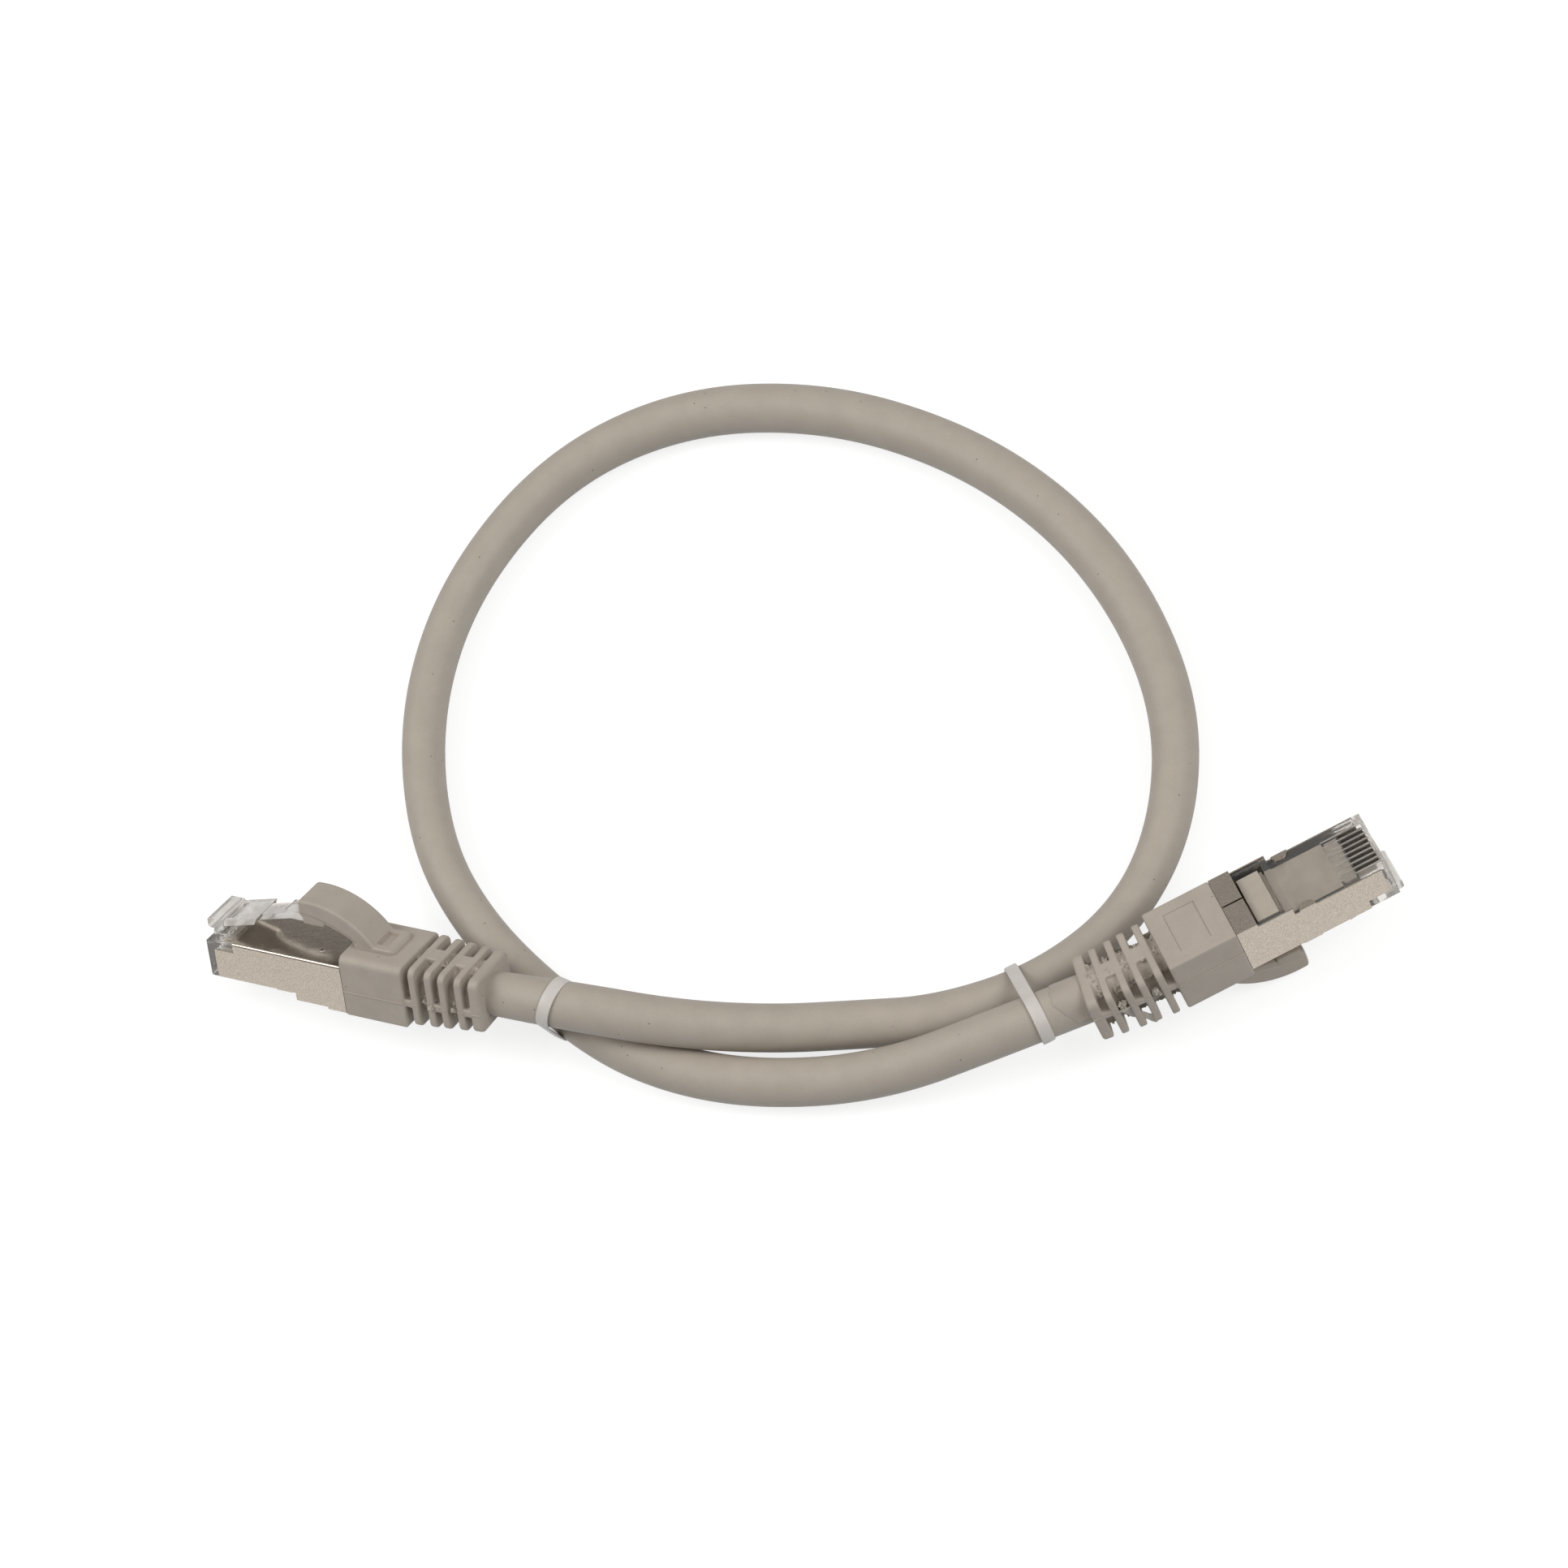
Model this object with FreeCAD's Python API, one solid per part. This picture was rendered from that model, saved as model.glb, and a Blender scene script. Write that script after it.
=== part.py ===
import FreeCAD, Part
import math
import os

from FreeCAD import Placement, Rotation, Vector

# Shielded ethernet patch cable: a round grey cable lying in one loop, with a moulded eight-contact
# plug on each end and two thin bands that hold its crossing ends together.
# All sizes are in millimetres and all angles in degrees.
# A plug is drawn in its own frame: x runs back from the nose, y across, and z up from the contact face
# towards the latch. It is then laid on the surface in its photographed pose.
# The origin of the whole part is on the surface, under the middle of the box round both plugs.

# Plug housing, clear
plug_width = 11.68
housing_height = 6.35
nose_length = 1.25
shoulder_length = 3.45
shoulder_height = 1.45
front_block_length = 15.2
rear_block_length = 5.6
rear_block_drop = 1.1
nose_recess_width = 7.0
nose_recess_depth = 0.35
nose_recess_length = 2.4
cavity_start = 7.0
cavity_width = 9.2
cavity_floor = 0.95
cavity_roof = 0.6
window_width = 10.0
window_front_wall = 1.1
fit_clearance = 0.05

# Contacts, in slots across the nose
contact_count = 8
contact_pitch = 1.016
contact_slot_start = 0.6
contact_slot_length = 3.9
contact_slot_width = 0.5
contact_thickness = 0.35
contact_recess = 0.55
contact_end_gap = 0.1

# Conductors, from the contacts to the cable
conductor_size = 0.9
conductor_height = 4.1
conductor_start = 1.5
conductor_row_clearance = 0.05
conductor_split_setback = 2.5
conductor_split_length = 3.0
conductor_row_gap = 1.1
conductor_column_gap = 1.25
conductor_straight_end = 1.0

# Load bar that holds the conductors in a row
load_bar_length = 7.6
load_bar_taper_length = 2.6
load_bar_tail_width = 7.2
load_bar_comb_length = 1.0
load_bar_tail_slot_width = 6.6

# Jacket end, flattened in the plug and round in the boot
cable_size = 7.3
cable_axis_height = 3.2
jacket_end_setback = 1.1
jacket_flat_width = 8.4
jacket_flat_height = 4.2
jacket_flat_length = 4.6
jacket_round_start = 1.8

# Strain relief bar, seen in the window on the contact side
strain_bar_setback = 0.2
strain_bar_length = 3.7
strain_bar_width = 8.7
strain_bar_thickness = 0.8
strain_lug_length = 0.8

# Shield shell, folded from sheet
shell_sheet = 0.25
shell_top_start = 4.1
shell_rear_overhang = 3.3
shell_mid_drop = 1.3
shell_rear_drop = 1.9
shell_flap_seam = 0.3
shell_tab_lead = 3.4
shell_tab_width = 2.6
shell_tab_reach = 1.3
shell_dimple_lead = 5.0
shell_dimple_y = -2.6
shell_dimple_radius = 0.45
shell_dimple_depth = 0.1

# Braid sleeve and crimp ferrule
braid_start = 1.7
braid_length = 3.9
braid_thickness = 0.1
ferrule_plate_thickness = 0.3
ferrule_mouth_radius = 4.05
ferrule_cone_length = 1.5
ferrule_length = 4.9
ferrule_wall = 0.3
layer_clearance = 0.025

# Boot, moulded over the shell's rear and the cable
boot_length = 10.9
boot_width = 11.9
boot_step_top = 1.85
boot_step_bottom = 0.1
boot_top_edge_radius = 1.25
boot_bottom_edge_radius = 0.4
boot_bore_clearance = 0.05
boot_core_wall = 0.5
pad_start = 1.9
pad_length = 6.3
pad_width = 6.0
pad_rise = 0.85
pad_recess_start = 4.8
pad_recess_length = 1.8
pad_recess_width = 3.4
pad_recess_depth = 0.3
ramp_length = 3.2
ramp_rise = 0.95
frame_start = 3.3
frame_length = 4.8
frame_width = 7.4
frame_line = 0.5
frame_depth = 0.15

# Ribs of the boot's strain relief, which bends with the cable
rib_thickness = 1.15
rib_side_gap = 1.1
rib_bridge_gap = 1.5
collar_length = 1.7
rib_width_start = 11.4
rib_width_end = 10.4
rib_top_start = 0.15
rib_top_end = -0.45
rib_bottom_start = 0.2
rib_bottom_end = 1.0
rib_corner_radius = 1.2
rib_link_height = 1.3
rib_bridge_width = 2.8
parting_height = 2.35

# Latch
pivot_clearance = 0.1
latch_root_x = 0.2
latch_root_radius = 0.45
latch_root_rise = 0.3
latch_web_thickness = 0.6
latch_front_reach = 1.1
latch_block_end = 1.7
latch_block_gap = 0.55
latch_block_height = 1.8
latch_block_width = 6.6
latch_block_bevel = 0.3
latch_plate_width = 6.2
latch_plate_gap = 1.13
latch_thickness = 1.0
latch_shoulder_x = 7.5
latch_shoulder_lean = 0.55
latch_slot_start = 1.9
latch_slot_length = 1.2
latch_slot_width = 4.6
latch_tab_width = 3.3
latch_flat_length = 4.5
latch_tab_gap = 4.2
latch_under_guard = 2.6
latch_pad_lead = 1.0
latch_pad_length = 3.0
latch_pad_rise = 0.3

# Latch guard, the arched cover that is pressed to free the plug
guard_width = 6.0
guard_reach = 11.2
guard_tip_depth = 3.1
guard_tip_round = 0.5
guard_latch_gap = 0.45
guard_root_setback = 2.5
guard_root_rise = 1.55
guard_root_radius = 1.9
guard_crest_setback = 1.8
guard_crest_rise = 0.07
guard_top_ahead = 3.9
guard_top_rise = 4.25
guard_under_ahead = 5.2
guard_under_rise = 1.1
guard_back_angle = 46.2
guard_front_angle = 191.5

# Bands
band_width = 2.0
band_thickness = 0.3
band_clearance = 0.2
left_band_distance = 9.2
right_band_distance = 7.9
band_reach = 12.0

# Cable
jacket_wall = 0.9
core_clearance = 0.1
exit_run = 13.0
bend_share = 0.45

# How the two plugs lie: their nose points on the surface, turn, tilt and roll, and the relief's bend
left_nose = (-89.4, 11.7)
left_turn = -21.0
left_tilt = 7.0
left_roll = -31.0
left_bend = 3.5
right_nose = (88.1, 5.4)
right_turn = -157.0
right_tilt = -2.5
right_roll = -166.2
right_bend = 7.5

# The cable's route between the two straight exits, chosen by eye along the photographed loop
route = [
    (-17.7, -10.3, 9.6),
    (-4.2, -10.6, 5.3),
    (8.7, -10.5, 3.8),
    (21.5, -11.0, 4.0),
    (37.2, -6.7, 4.3),
    (49.8, 3.6, 3.9),
    (57.2, 18.1, 3.7),
    (58.3, 36.8, 3.7),
    (52.2, 56.1, 3.7),
    (41.4, 73.0, 3.7),
    (25.2, 87.3, 3.7),
    (4.2, 97.3, 3.7),
    (-18.7, 99.4, 3.7),
    (-39.2, 91.4, 3.7),
    (-54.2, 73.0, 3.7),
    (-60.5, 51.6, 3.7),
    (-58.5, 28.7, 3.7),
    (-50.3, 11.9, 3.8),
    (-36.2, -4.0, 4.3),
    (-23.6, -13.4, 4.0),
    (-7.8, -18.7, 3.7),
    (12.4, -20.0, 5.0),
]

# Places that follow from the sizes above
plug_half = plug_width / 2
housing_half = plug_half - shell_sheet
housing_end = front_block_length + rear_block_length
cavity_top = housing_height - cavity_roof
shoulder_end = nose_length + shoulder_length
window_start = front_block_length + window_front_wall
shell_top = housing_height + shell_sheet
shell_end = housing_end + shell_rear_overhang
nose_recess_floor = housing_height - nose_recess_depth
cable_radius = cable_size / 2
jacket_flat_axis = cavity_top - fit_clearance - jacket_flat_height / 2
jacket_end_start = window_start + jacket_end_setback
jacket_round_x = shell_end + jacket_round_start
load_bar_end = cavity_start + load_bar_length
load_bar_taper_start = load_bar_end - load_bar_taper_length
conductor_split_start = cavity_start + conductor_split_setback
strain_bar_start = window_start + strain_bar_setback
shell_tab_start = front_block_length - shell_tab_lead
shell_dimple_x = shell_end - shell_dimple_lead
boot_start = shell_end
boot_end = boot_start + boot_length
boot_top = shell_top + boot_step_top
boot_bottom = -shell_rear_drop - boot_step_bottom
relief_length = 3 * rib_side_gap + 2 * rib_bridge_gap + 4 * rib_thickness + collar_length
braid_inner = cable_radius + layer_clearance
braid_outer = braid_inner + braid_thickness
ferrule_inner = braid_outer + layer_clearance
ferrule_outer = ferrule_inner + ferrule_wall
latch_root_z = nose_recess_floor + latch_root_rise
latch_tab_z = housing_height + latch_tab_gap
guard_under_z = latch_tab_z + latch_thickness + guard_latch_gap
guard_top_z = guard_under_z + guard_tip_depth
guard_root_x = boot_start + guard_root_setback
guard_root_z = boot_top + guard_root_rise
guard_tip_x = guard_root_x - guard_reach
latch_end_x = guard_tip_x + latch_under_guard
latch_bend_x = latch_end_x - latch_flat_length
latch_pad_start = latch_bend_x - latch_pad_lead
bore_radius = cable_radius + boot_bore_clearance


def box(x0, x1, y0, y1, z0, z1):
    return Part.makeBox(x1 - x0, y1 - y0, z1 - z0, Vector(x0, y0, z0))


def centred_box(x0, x1, width, z0, z1):
    return box(x0, x1, -width / 2, width / 2, z0, z1)


def cross_cylinder(x, z, radius, width):
    return Part.makeCylinder(radius, width, Vector(x, -width / 2, z), Vector(0, 1, 0))


def side_prism(edges, width):
    """A profile of edges in the plane y = 0, given the width across."""
    face = Part.Face(Part.Wire(edges))
    face.translate(Vector(0, -width / 2, 0))
    return face.extrude(Vector(0, width, 0))


def side_point(x, z):
    return Vector(x, 0, z)


def polygon_edges(corners):
    points = [side_point(x, z) for x, z in corners]
    pairs = zip(points, points[1:] + points[:1])
    return [Part.makeLine(first, second) for first, second in pairs]


def arc_edge(first, through, last):
    return Part.Arc(side_point(*first), side_point(*through), side_point(*last)).toShape()


def long_edges(shape, top):
    """The upper or the lower edges of a block that run along x."""
    middle = shape.BoundBox.Center.z
    found = []
    for edge in shape.Edges:
        ends = [vertex.Point for vertex in edge.Vertexes]
        along_x = abs(ends[0].y - ends[1].y) < 1e-6 and abs(ends[0].z - ends[1].z) < 1e-6
        if along_x and (ends[0].z > middle) == top:
            found.append(edge)
    return found


def rounded_block(x0, x1, width, z0, z1, top_radius, bottom_radius):
    block = centred_box(x0, x1, width, z0, z1)
    block = block.makeFillet(top_radius, long_edges(block, True))
    return block.makeFillet(bottom_radius, long_edges(block, False))


def bent_path(points):
    """Straight runs joined by tangent arcs, and the radii of those arcs."""
    edges = []
    radii = []
    run_start = points[0]
    for before, corner, after in zip(points, points[1:], points[2:]):
        back = before - corner
        ahead = after - corner
        leg = bend_share * min(back.Length, ahead.Length)
        half_turn = (math.pi - back.getAngle(ahead)) / 2
        radius = leg / math.tan(half_turn)
        back.normalize()
        ahead.normalize()
        inward = back + ahead
        inward.normalize()
        arc_start = corner + back * leg
        arc_end = corner + ahead * leg
        arc_middle = corner + inward * (radius / math.cos(half_turn) - radius)
        edges.append(Part.LineSegment(run_start, arc_start).toShape())
        edges.append(Part.Arc(arc_start, arc_middle, arc_end).toShape())
        radii.append(radius)
        run_start = arc_end
    edges.append(Part.LineSegment(run_start, points[-1]).toShape())
    return Part.Wire(edges), radii


def tube(points, radius):
    """A round solid along a bent path."""
    path, radii = bent_path(points)
    direction = points[1] - points[0]
    ring = Part.Wire(Part.makeCircle(radius, points[0], direction))
    return path.makePipeShell([ring], True, False)


def contact_rows():
    """The y of each contact and conductor."""
    middle = (contact_count - 1) / 2
    return [(index - middle) * contact_pitch for index in range(contact_count)]


# Housing and the pieces inside it

def plug_housing():
    body = centred_box(0, front_block_length, 2 * housing_half, 0, housing_height)
    rear = centred_box(front_block_length, housing_end, 2 * housing_half, -rear_block_drop, housing_height)
    nose = centred_box(0, nose_length, plug_width, 0, housing_height)
    shoulder_z = housing_height - shoulder_height
    shoulders = centred_box(0, shoulder_end, plug_width, shoulder_z, housing_height)
    body = body.fuse([rear, nose, shoulders])
    recess = centred_box(-1, nose_recess_length, nose_recess_width, nose_recess_floor, housing_height + 1)
    pivot = cross_cylinder(latch_root_x, latch_root_z, latch_root_radius + pivot_clearance, nose_recess_width)
    cavity = centred_box(cavity_start, housing_end + 1, cavity_width, cavity_floor, cavity_top)
    window = centred_box(window_start, housing_end + 1, window_width, -rear_block_drop - 1, cavity_top)
    row = contact_rows()
    row_half = row[-1] + conductor_size / 2 + conductor_row_clearance
    channel_half_height = conductor_size / 2 + conductor_row_clearance
    channel = centred_box(conductor_start - fit_clearance, cavity_start + 1, 2 * row_half,
                          conductor_height - channel_half_height, conductor_height + channel_half_height)
    cuts = [recess, pivot, cavity, window, channel]
    for y in row:
        slot_end = contact_slot_start + contact_slot_length
        cuts.append(box(contact_slot_start, slot_end, y - contact_slot_width / 2, y + contact_slot_width / 2,
                        -1, conductor_height))
    return body.cut(cuts).removeSplitter()


def contacts():
    blades = []
    first_x = contact_slot_start + contact_end_gap
    last_x = contact_slot_start + contact_slot_length - contact_end_gap
    for y in contact_rows():
        blades.append(box(first_x, last_x, y - contact_thickness / 2, y + contact_thickness / 2,
                          contact_recess, conductor_height))
    return Part.makeCompound(blades)


def conductors():
    wires = []
    columns = (contact_count // 2 - 1) / 2
    split_end = conductor_split_start + conductor_split_length
    straight_start = jacket_end_start - conductor_straight_end
    for index, y in enumerate(contact_rows()):
        side = 1 if index % 2 == 0 else -1
        end_y = (index // 2 - columns) * conductor_column_gap
        end_z = jacket_flat_axis + side * conductor_row_gap / 2
        points = [
            Vector(conductor_start, y, conductor_height),
            Vector(conductor_split_start, y, conductor_height),
            Vector(split_end, y, end_z),
            Vector(straight_start, end_y, end_z),
            Vector(jacket_end_start, end_y, end_z),
        ]
        wires.append(tube(points, conductor_size / 2))
    return Part.makeCompound(wires)


def load_bar():
    start = cavity_start + fit_clearance
    half = cavity_width / 2 - fit_clearance
    tail_half = load_bar_tail_width / 2
    outline = [
        Vector(start, -half, 0),
        Vector(load_bar_taper_start, -half, 0),
        Vector(load_bar_end, -tail_half, 0),
        Vector(load_bar_end, tail_half, 0),
        Vector(load_bar_taper_start, half, 0),
        Vector(start, half, 0),
    ]
    floor = cavity_floor + fit_clearance
    height = cavity_top - fit_clearance - floor
    bar = Part.Face(Part.makePolygon(outline + outline[:1])).extrude(Vector(0, 0, height))
    bar.translate(Vector(0, 0, floor))
    row_half = contact_rows()[-1] + conductor_size / 2 + conductor_row_clearance
    reach = conductor_size / 2 + conductor_row_clearance
    comb = centred_box(start - 1, load_bar_end + 1, 2 * row_half,
                       conductor_height - reach, conductor_height + reach)
    comb_end = start + load_bar_comb_length
    low = jacket_flat_axis - conductor_row_gap / 2 - reach
    high = max(jacket_flat_axis + conductor_row_gap / 2, conductor_height) + reach
    mouth = [
        Vector(comb_end, -row_half, low),
        Vector(load_bar_taper_start, -row_half, low),
        Vector(load_bar_end + 1, -load_bar_tail_slot_width / 2, low),
        Vector(load_bar_end + 1, load_bar_tail_slot_width / 2, low),
        Vector(load_bar_taper_start, row_half, low),
        Vector(comb_end, row_half, low),
    ]
    pocket = Part.Face(Part.makePolygon(mouth + mouth[:1])).extrude(Vector(0, 0, high - low))
    comb = comb.common(centred_box(start - 1, comb_end, 2 * half, 0, housing_height))
    return bar.cut([comb, pocket]).removeSplitter()


def strain_relief_bar():
    top = jacket_flat_axis - jacket_flat_height / 2 - fit_clearance
    bottom = top - strain_bar_thickness
    end = strain_bar_start + strain_bar_length
    bar = centred_box(strain_bar_start, end, strain_bar_width, bottom, top)
    lug = centred_box(strain_bar_start, strain_bar_start + strain_lug_length, window_width, bottom, top)
    return bar.fuse(lug).removeSplitter()


# Shell, braid and ferrule

def shield_shell():
    sides = []
    shoulder_z = housing_height - shoulder_height
    drops = [
        (nose_length, front_block_length, 0),
        (front_block_length, housing_end, shell_mid_drop),
        (housing_end, shell_end, shell_rear_drop),
    ]
    for hand in (-1, 1):
        y0 = min(hand * housing_half, hand * plug_half)
        for first, last, drop in drops:
            sides.append(box(first, last, y0, y0 + shell_sheet, -drop, shell_top))
    top = centred_box(shell_top_start, shell_end, plug_width, housing_height, shell_top)
    flap = centred_box(housing_end, shell_end, plug_width, -shell_rear_drop, shell_sheet - shell_rear_drop)
    shell = top.fuse(sides + [flap] + shell_tabs())
    notch = centred_box(nose_length - 1, shoulder_end, plug_width + 2, shoulder_z, shell_top + 1)
    keep = centred_box(shell_top_start, shoulder_end + 1, 2 * housing_half, housing_height, shell_top + 2)
    seam = centred_box(housing_end - 1, shell_end + 1, shell_flap_seam, -shell_rear_drop - 1, 0)
    bulb_radius = (shell_dimple_radius ** 2 + shell_dimple_depth ** 2) / (2 * shell_dimple_depth)
    bulb_z = shell_top + bulb_radius - shell_dimple_depth
    dimple = Part.makeSphere(bulb_radius, Vector(shell_dimple_x, shell_dimple_y, bulb_z))
    return shell.cut([notch.cut(keep), seam, dimple]).removeSplitter()


def shell_tabs():
    """Two round-ended tabs folded in over the contact face."""
    tabs = []
    radius = shell_tab_width / 2
    middle_x = shell_tab_start + radius
    for hand in (-1, 1):
        centre_y = hand * (plug_half - shell_tab_reach + radius)
        disc = Part.makeCylinder(radius, shell_sheet, Vector(middle_x, centre_y, -shell_sheet))
        inside = centred_box(shell_tab_start - 1, shell_tab_start + shell_tab_width + 1, plug_width,
                             -shell_sheet, 0)
        tabs.append(disc.common(inside))
        edge = box(shell_tab_start, shell_tab_start + shell_tab_width,
                   min(hand * housing_half, hand * plug_half), max(hand * housing_half, hand * plug_half),
                   -shell_sheet, shell_sheet)
        tabs.append(edge)
    return tabs


def on_axis(profile):
    """A profile of (x, radius) corners turned round the cable's axis."""
    corners = [Vector(x, 0, cable_axis_height + radius) for x, radius in profile]
    face = Part.Face(Part.makePolygon(corners + corners[:1]))
    return face.revolve(Vector(0, 0, cable_axis_height), Vector(1, 0, 0), 360)


def braid_sleeve():
    start = boot_start + braid_start
    end = start + braid_length
    return on_axis([(start, braid_inner), (end, braid_inner), (end, braid_outer), (start, braid_outer)])


def crimp_ferrule():
    cone_end = boot_start + ferrule_cone_length
    end = boot_start + ferrule_length
    ring = on_axis([
        (boot_start, ferrule_mouth_radius),
        (cone_end, ferrule_inner),
        (end, ferrule_inner),
        (end, ferrule_outer),
        (cone_end, ferrule_outer),
        (boot_start, ferrule_mouth_radius + ferrule_wall),
    ])
    plate = centred_box(shell_end - ferrule_plate_thickness, shell_end, 2 * housing_half - 2 * fit_clearance,
                        -shell_rear_drop + shell_sheet + fit_clearance, housing_height - fit_clearance)
    hole = Part.makeCylinder(ferrule_mouth_radius, 2, Vector(shell_end - 1, 0, cable_axis_height),
                             Vector(1, 0, 0))
    return ring.fuse(plate.cut(hole)).removeSplitter()


# The relief's bend, which the ribs, the boot's core and the jacket end all follow

def on_bend(bend, distance):
    """The place on the bent cable axis at a distance behind the boot's block."""
    turn = bend * distance / relief_length
    radius = relief_length / math.radians(bend)
    x = boot_end + radius * math.sin(math.radians(turn))
    y = radius * (1 - math.cos(math.radians(turn)))
    return Placement(Vector(x, y, cable_axis_height), Rotation(turn, 0, 0))


def bend_tube(bend, radius, start_x):
    """A round bar from start_x through the block and round the bend."""
    first = on_bend(bend, 0).Base
    middle = on_bend(bend, relief_length / 2).Base
    last = on_bend(bend, relief_length).Base
    start = Vector(start_x, 0, cable_axis_height)
    path = Part.Wire([Part.makeLine(start, first), Part.Arc(first, middle, last).toShape()])
    ring = Part.Wire(Part.makeCircle(radius, start, Vector(1, 0, 0)))
    return path.makePipeShell([ring], True, False)


def ellipse_wire(x, z, half_width, half_height):
    """An upright ellipse, or a circle, across the cable's axis."""
    centre = Vector(x, 0, z)
    if abs(half_width - half_height) < 1e-9:
        return Part.Wire(Part.makeCircle(half_width, centre, Vector(1, 0, 0)))
    side = centre + Vector(0, half_width, 0)
    top = centre + Vector(0, 0, half_height)
    return Part.Wire(Part.Ellipse(side, top, centre).toShape())


def jacket_end(bend):
    half_width = jacket_flat_width / 2
    half_height = jacket_flat_height / 2
    flat_end = jacket_end_start + jacket_flat_length
    flat = Part.Face(ellipse_wire(jacket_end_start, jacket_flat_axis, half_width, half_height))
    flat = flat.extrude(Vector(jacket_flat_length, 0, 0))
    joint = ellipse_wire(flat_end, jacket_flat_axis, half_width, half_height)
    ring = ellipse_wire(jacket_round_x, cable_axis_height, cable_radius, cable_radius)
    cone = Part.makeLoft([joint, ring], True, True)
    return flat.fuse([cone, bend_tube(bend, cable_radius, jacket_round_x)])


# Boot and latch guard

def rib_spans():
    """Start and end of each rib and of the collar, and the gaps before them."""
    spans = []
    gaps = []
    place = 0
    for index in range(5):
        gap = rib_side_gap if index % 2 == 0 else rib_bridge_gap
        gaps.append((place, place + gap))
        place += gap
        thickness = rib_thickness if index < 4 else collar_length
        spans.append((place, place + thickness))
        place += thickness
    return spans, gaps


def rib_section(distance):
    """Width, top and bottom of the ribs at a distance, from the cable's axis."""
    share = distance / relief_length
    width = rib_width_start + (rib_width_end - rib_width_start) * share
    top = boot_top + rib_top_start + (rib_top_end - rib_top_start) * share
    bottom = boot_bottom + rib_bottom_start + (rib_bottom_end - rib_bottom_start) * share
    return width, top - cable_axis_height, bottom - cable_axis_height


def relief(bend):
    pieces = []
    spans, gaps = rib_spans()
    for first, last in spans:
        middle = (first + last) / 2
        half = (last - first) / 2
        width, top, bottom = rib_section(middle)
        rib = rounded_block(-half, half, width, bottom, top, rib_corner_radius, rib_corner_radius)
        rib.Placement = on_bend(bend, middle)
        pieces.append(rib)
    link_z = parting_height - cable_axis_height
    for index, (first, last) in enumerate(gaps):
        middle = (first + last) / 2
        half = (last - first) / 2 + rib_thickness / 4
        width, top, bottom = rib_section(middle)
        if index % 2 == 0:
            link = centred_box(-half, half, width, link_z - rib_link_height / 2, link_z + rib_link_height / 2)
        else:
            link = centred_box(-half, half, rib_bridge_width, bottom, top)
        link.Placement = on_bend(bend, middle)
        pieces.append(link)
    return pieces


def boot(bend):
    block = rounded_block(boot_start, boot_end, boot_width, boot_bottom, boot_top,
                          boot_top_edge_radius, boot_bottom_edge_radius)
    pad_top = boot_top + pad_rise
    pad_x = boot_start + pad_start
    pad = centred_box(pad_x, pad_x + pad_length, pad_width, boot_top - boot_top_edge_radius, pad_top)
    ramp_x = guard_root_x
    ramp = side_prism(polygon_edges([
        (ramp_x, pad_top - pad_rise),
        (ramp_x + ramp_length, pad_top - pad_rise),
        (ramp_x + ramp_length, pad_top),
        (ramp_x + guard_root_radius + pivot_clearance, pad_top + ramp_rise),
        (ramp_x, pad_top + ramp_rise),
    ]), pad_width)
    core = bend_tube(bend, cable_radius + boot_core_wall, boot_end - 1)
    shape = block.fuse([pad, ramp, core] + relief(bend))
    return shape.cut(boot_cuts(bend)).removeSplitter()


def boot_cuts(bend):
    pad_top = boot_top + pad_rise
    pocket_width = guard_width + 2 * pivot_clearance
    root = cross_cylinder(guard_root_x, guard_root_z, guard_root_radius + pivot_clearance, pocket_width)
    above = side_prism(polygon_edges([
        (boot_start - 1, guard_root_z),
        (guard_root_x, guard_root_z),
        (guard_root_x + guard_root_radius + pivot_clearance, guard_root_z),
        (guard_root_x + guard_root_radius + pivot_clearance, guard_root_z + guard_root_radius),
        (boot_start - 1, guard_root_z + guard_root_radius),
    ]), pocket_width)
    ahead = centred_box(boot_start - 1, guard_root_x, pocket_width, boot_top, guard_root_z)
    recess_x = boot_start + pad_recess_start
    recess = centred_box(recess_x, recess_x + pad_recess_length, pad_recess_width,
                         pad_top - pad_recess_depth, pad_top + ramp_rise + 1)
    frame_x = boot_start + frame_start
    frame = centred_box(frame_x, frame_x + frame_length, frame_width, boot_bottom - 1, boot_bottom + frame_depth)
    island = centred_box(frame_x + frame_line, frame_x + frame_length - frame_line,
                         frame_width - 2 * frame_line, boot_bottom - 2, boot_bottom + 1)
    reach = boot_bore_clearance
    cone_end = boot_start + ferrule_cone_length
    ferrule_end = boot_start + ferrule_length + reach
    braid_end = boot_start + braid_start + braid_length + reach
    hollow = on_axis([
        (boot_start - 1, 0),
        (boot_start - 1, ferrule_mouth_radius + ferrule_wall + reach),
        (boot_start, ferrule_mouth_radius + ferrule_wall + reach),
        (cone_end, ferrule_outer + reach),
        (ferrule_end, ferrule_outer + reach),
        (ferrule_end, braid_outer + reach),
        (braid_end, braid_outer + reach),
        (braid_end, 0),
    ])
    bore = bend_tube(bend, bore_radius, boot_start)
    beyond = centred_box(0, collar_length, 2 * boot_width, -boot_width, boot_width)
    beyond.Placement = on_bend(bend, relief_length)
    return [root, above, ahead, recess, frame.cut(island), hollow, bore, beyond]


def root_point(angle):
    """A point on the guard's round root."""
    turn = math.radians(angle)
    return guard_root_x + guard_root_radius * math.cos(turn), guard_root_z + guard_root_radius * math.sin(turn)


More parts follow.
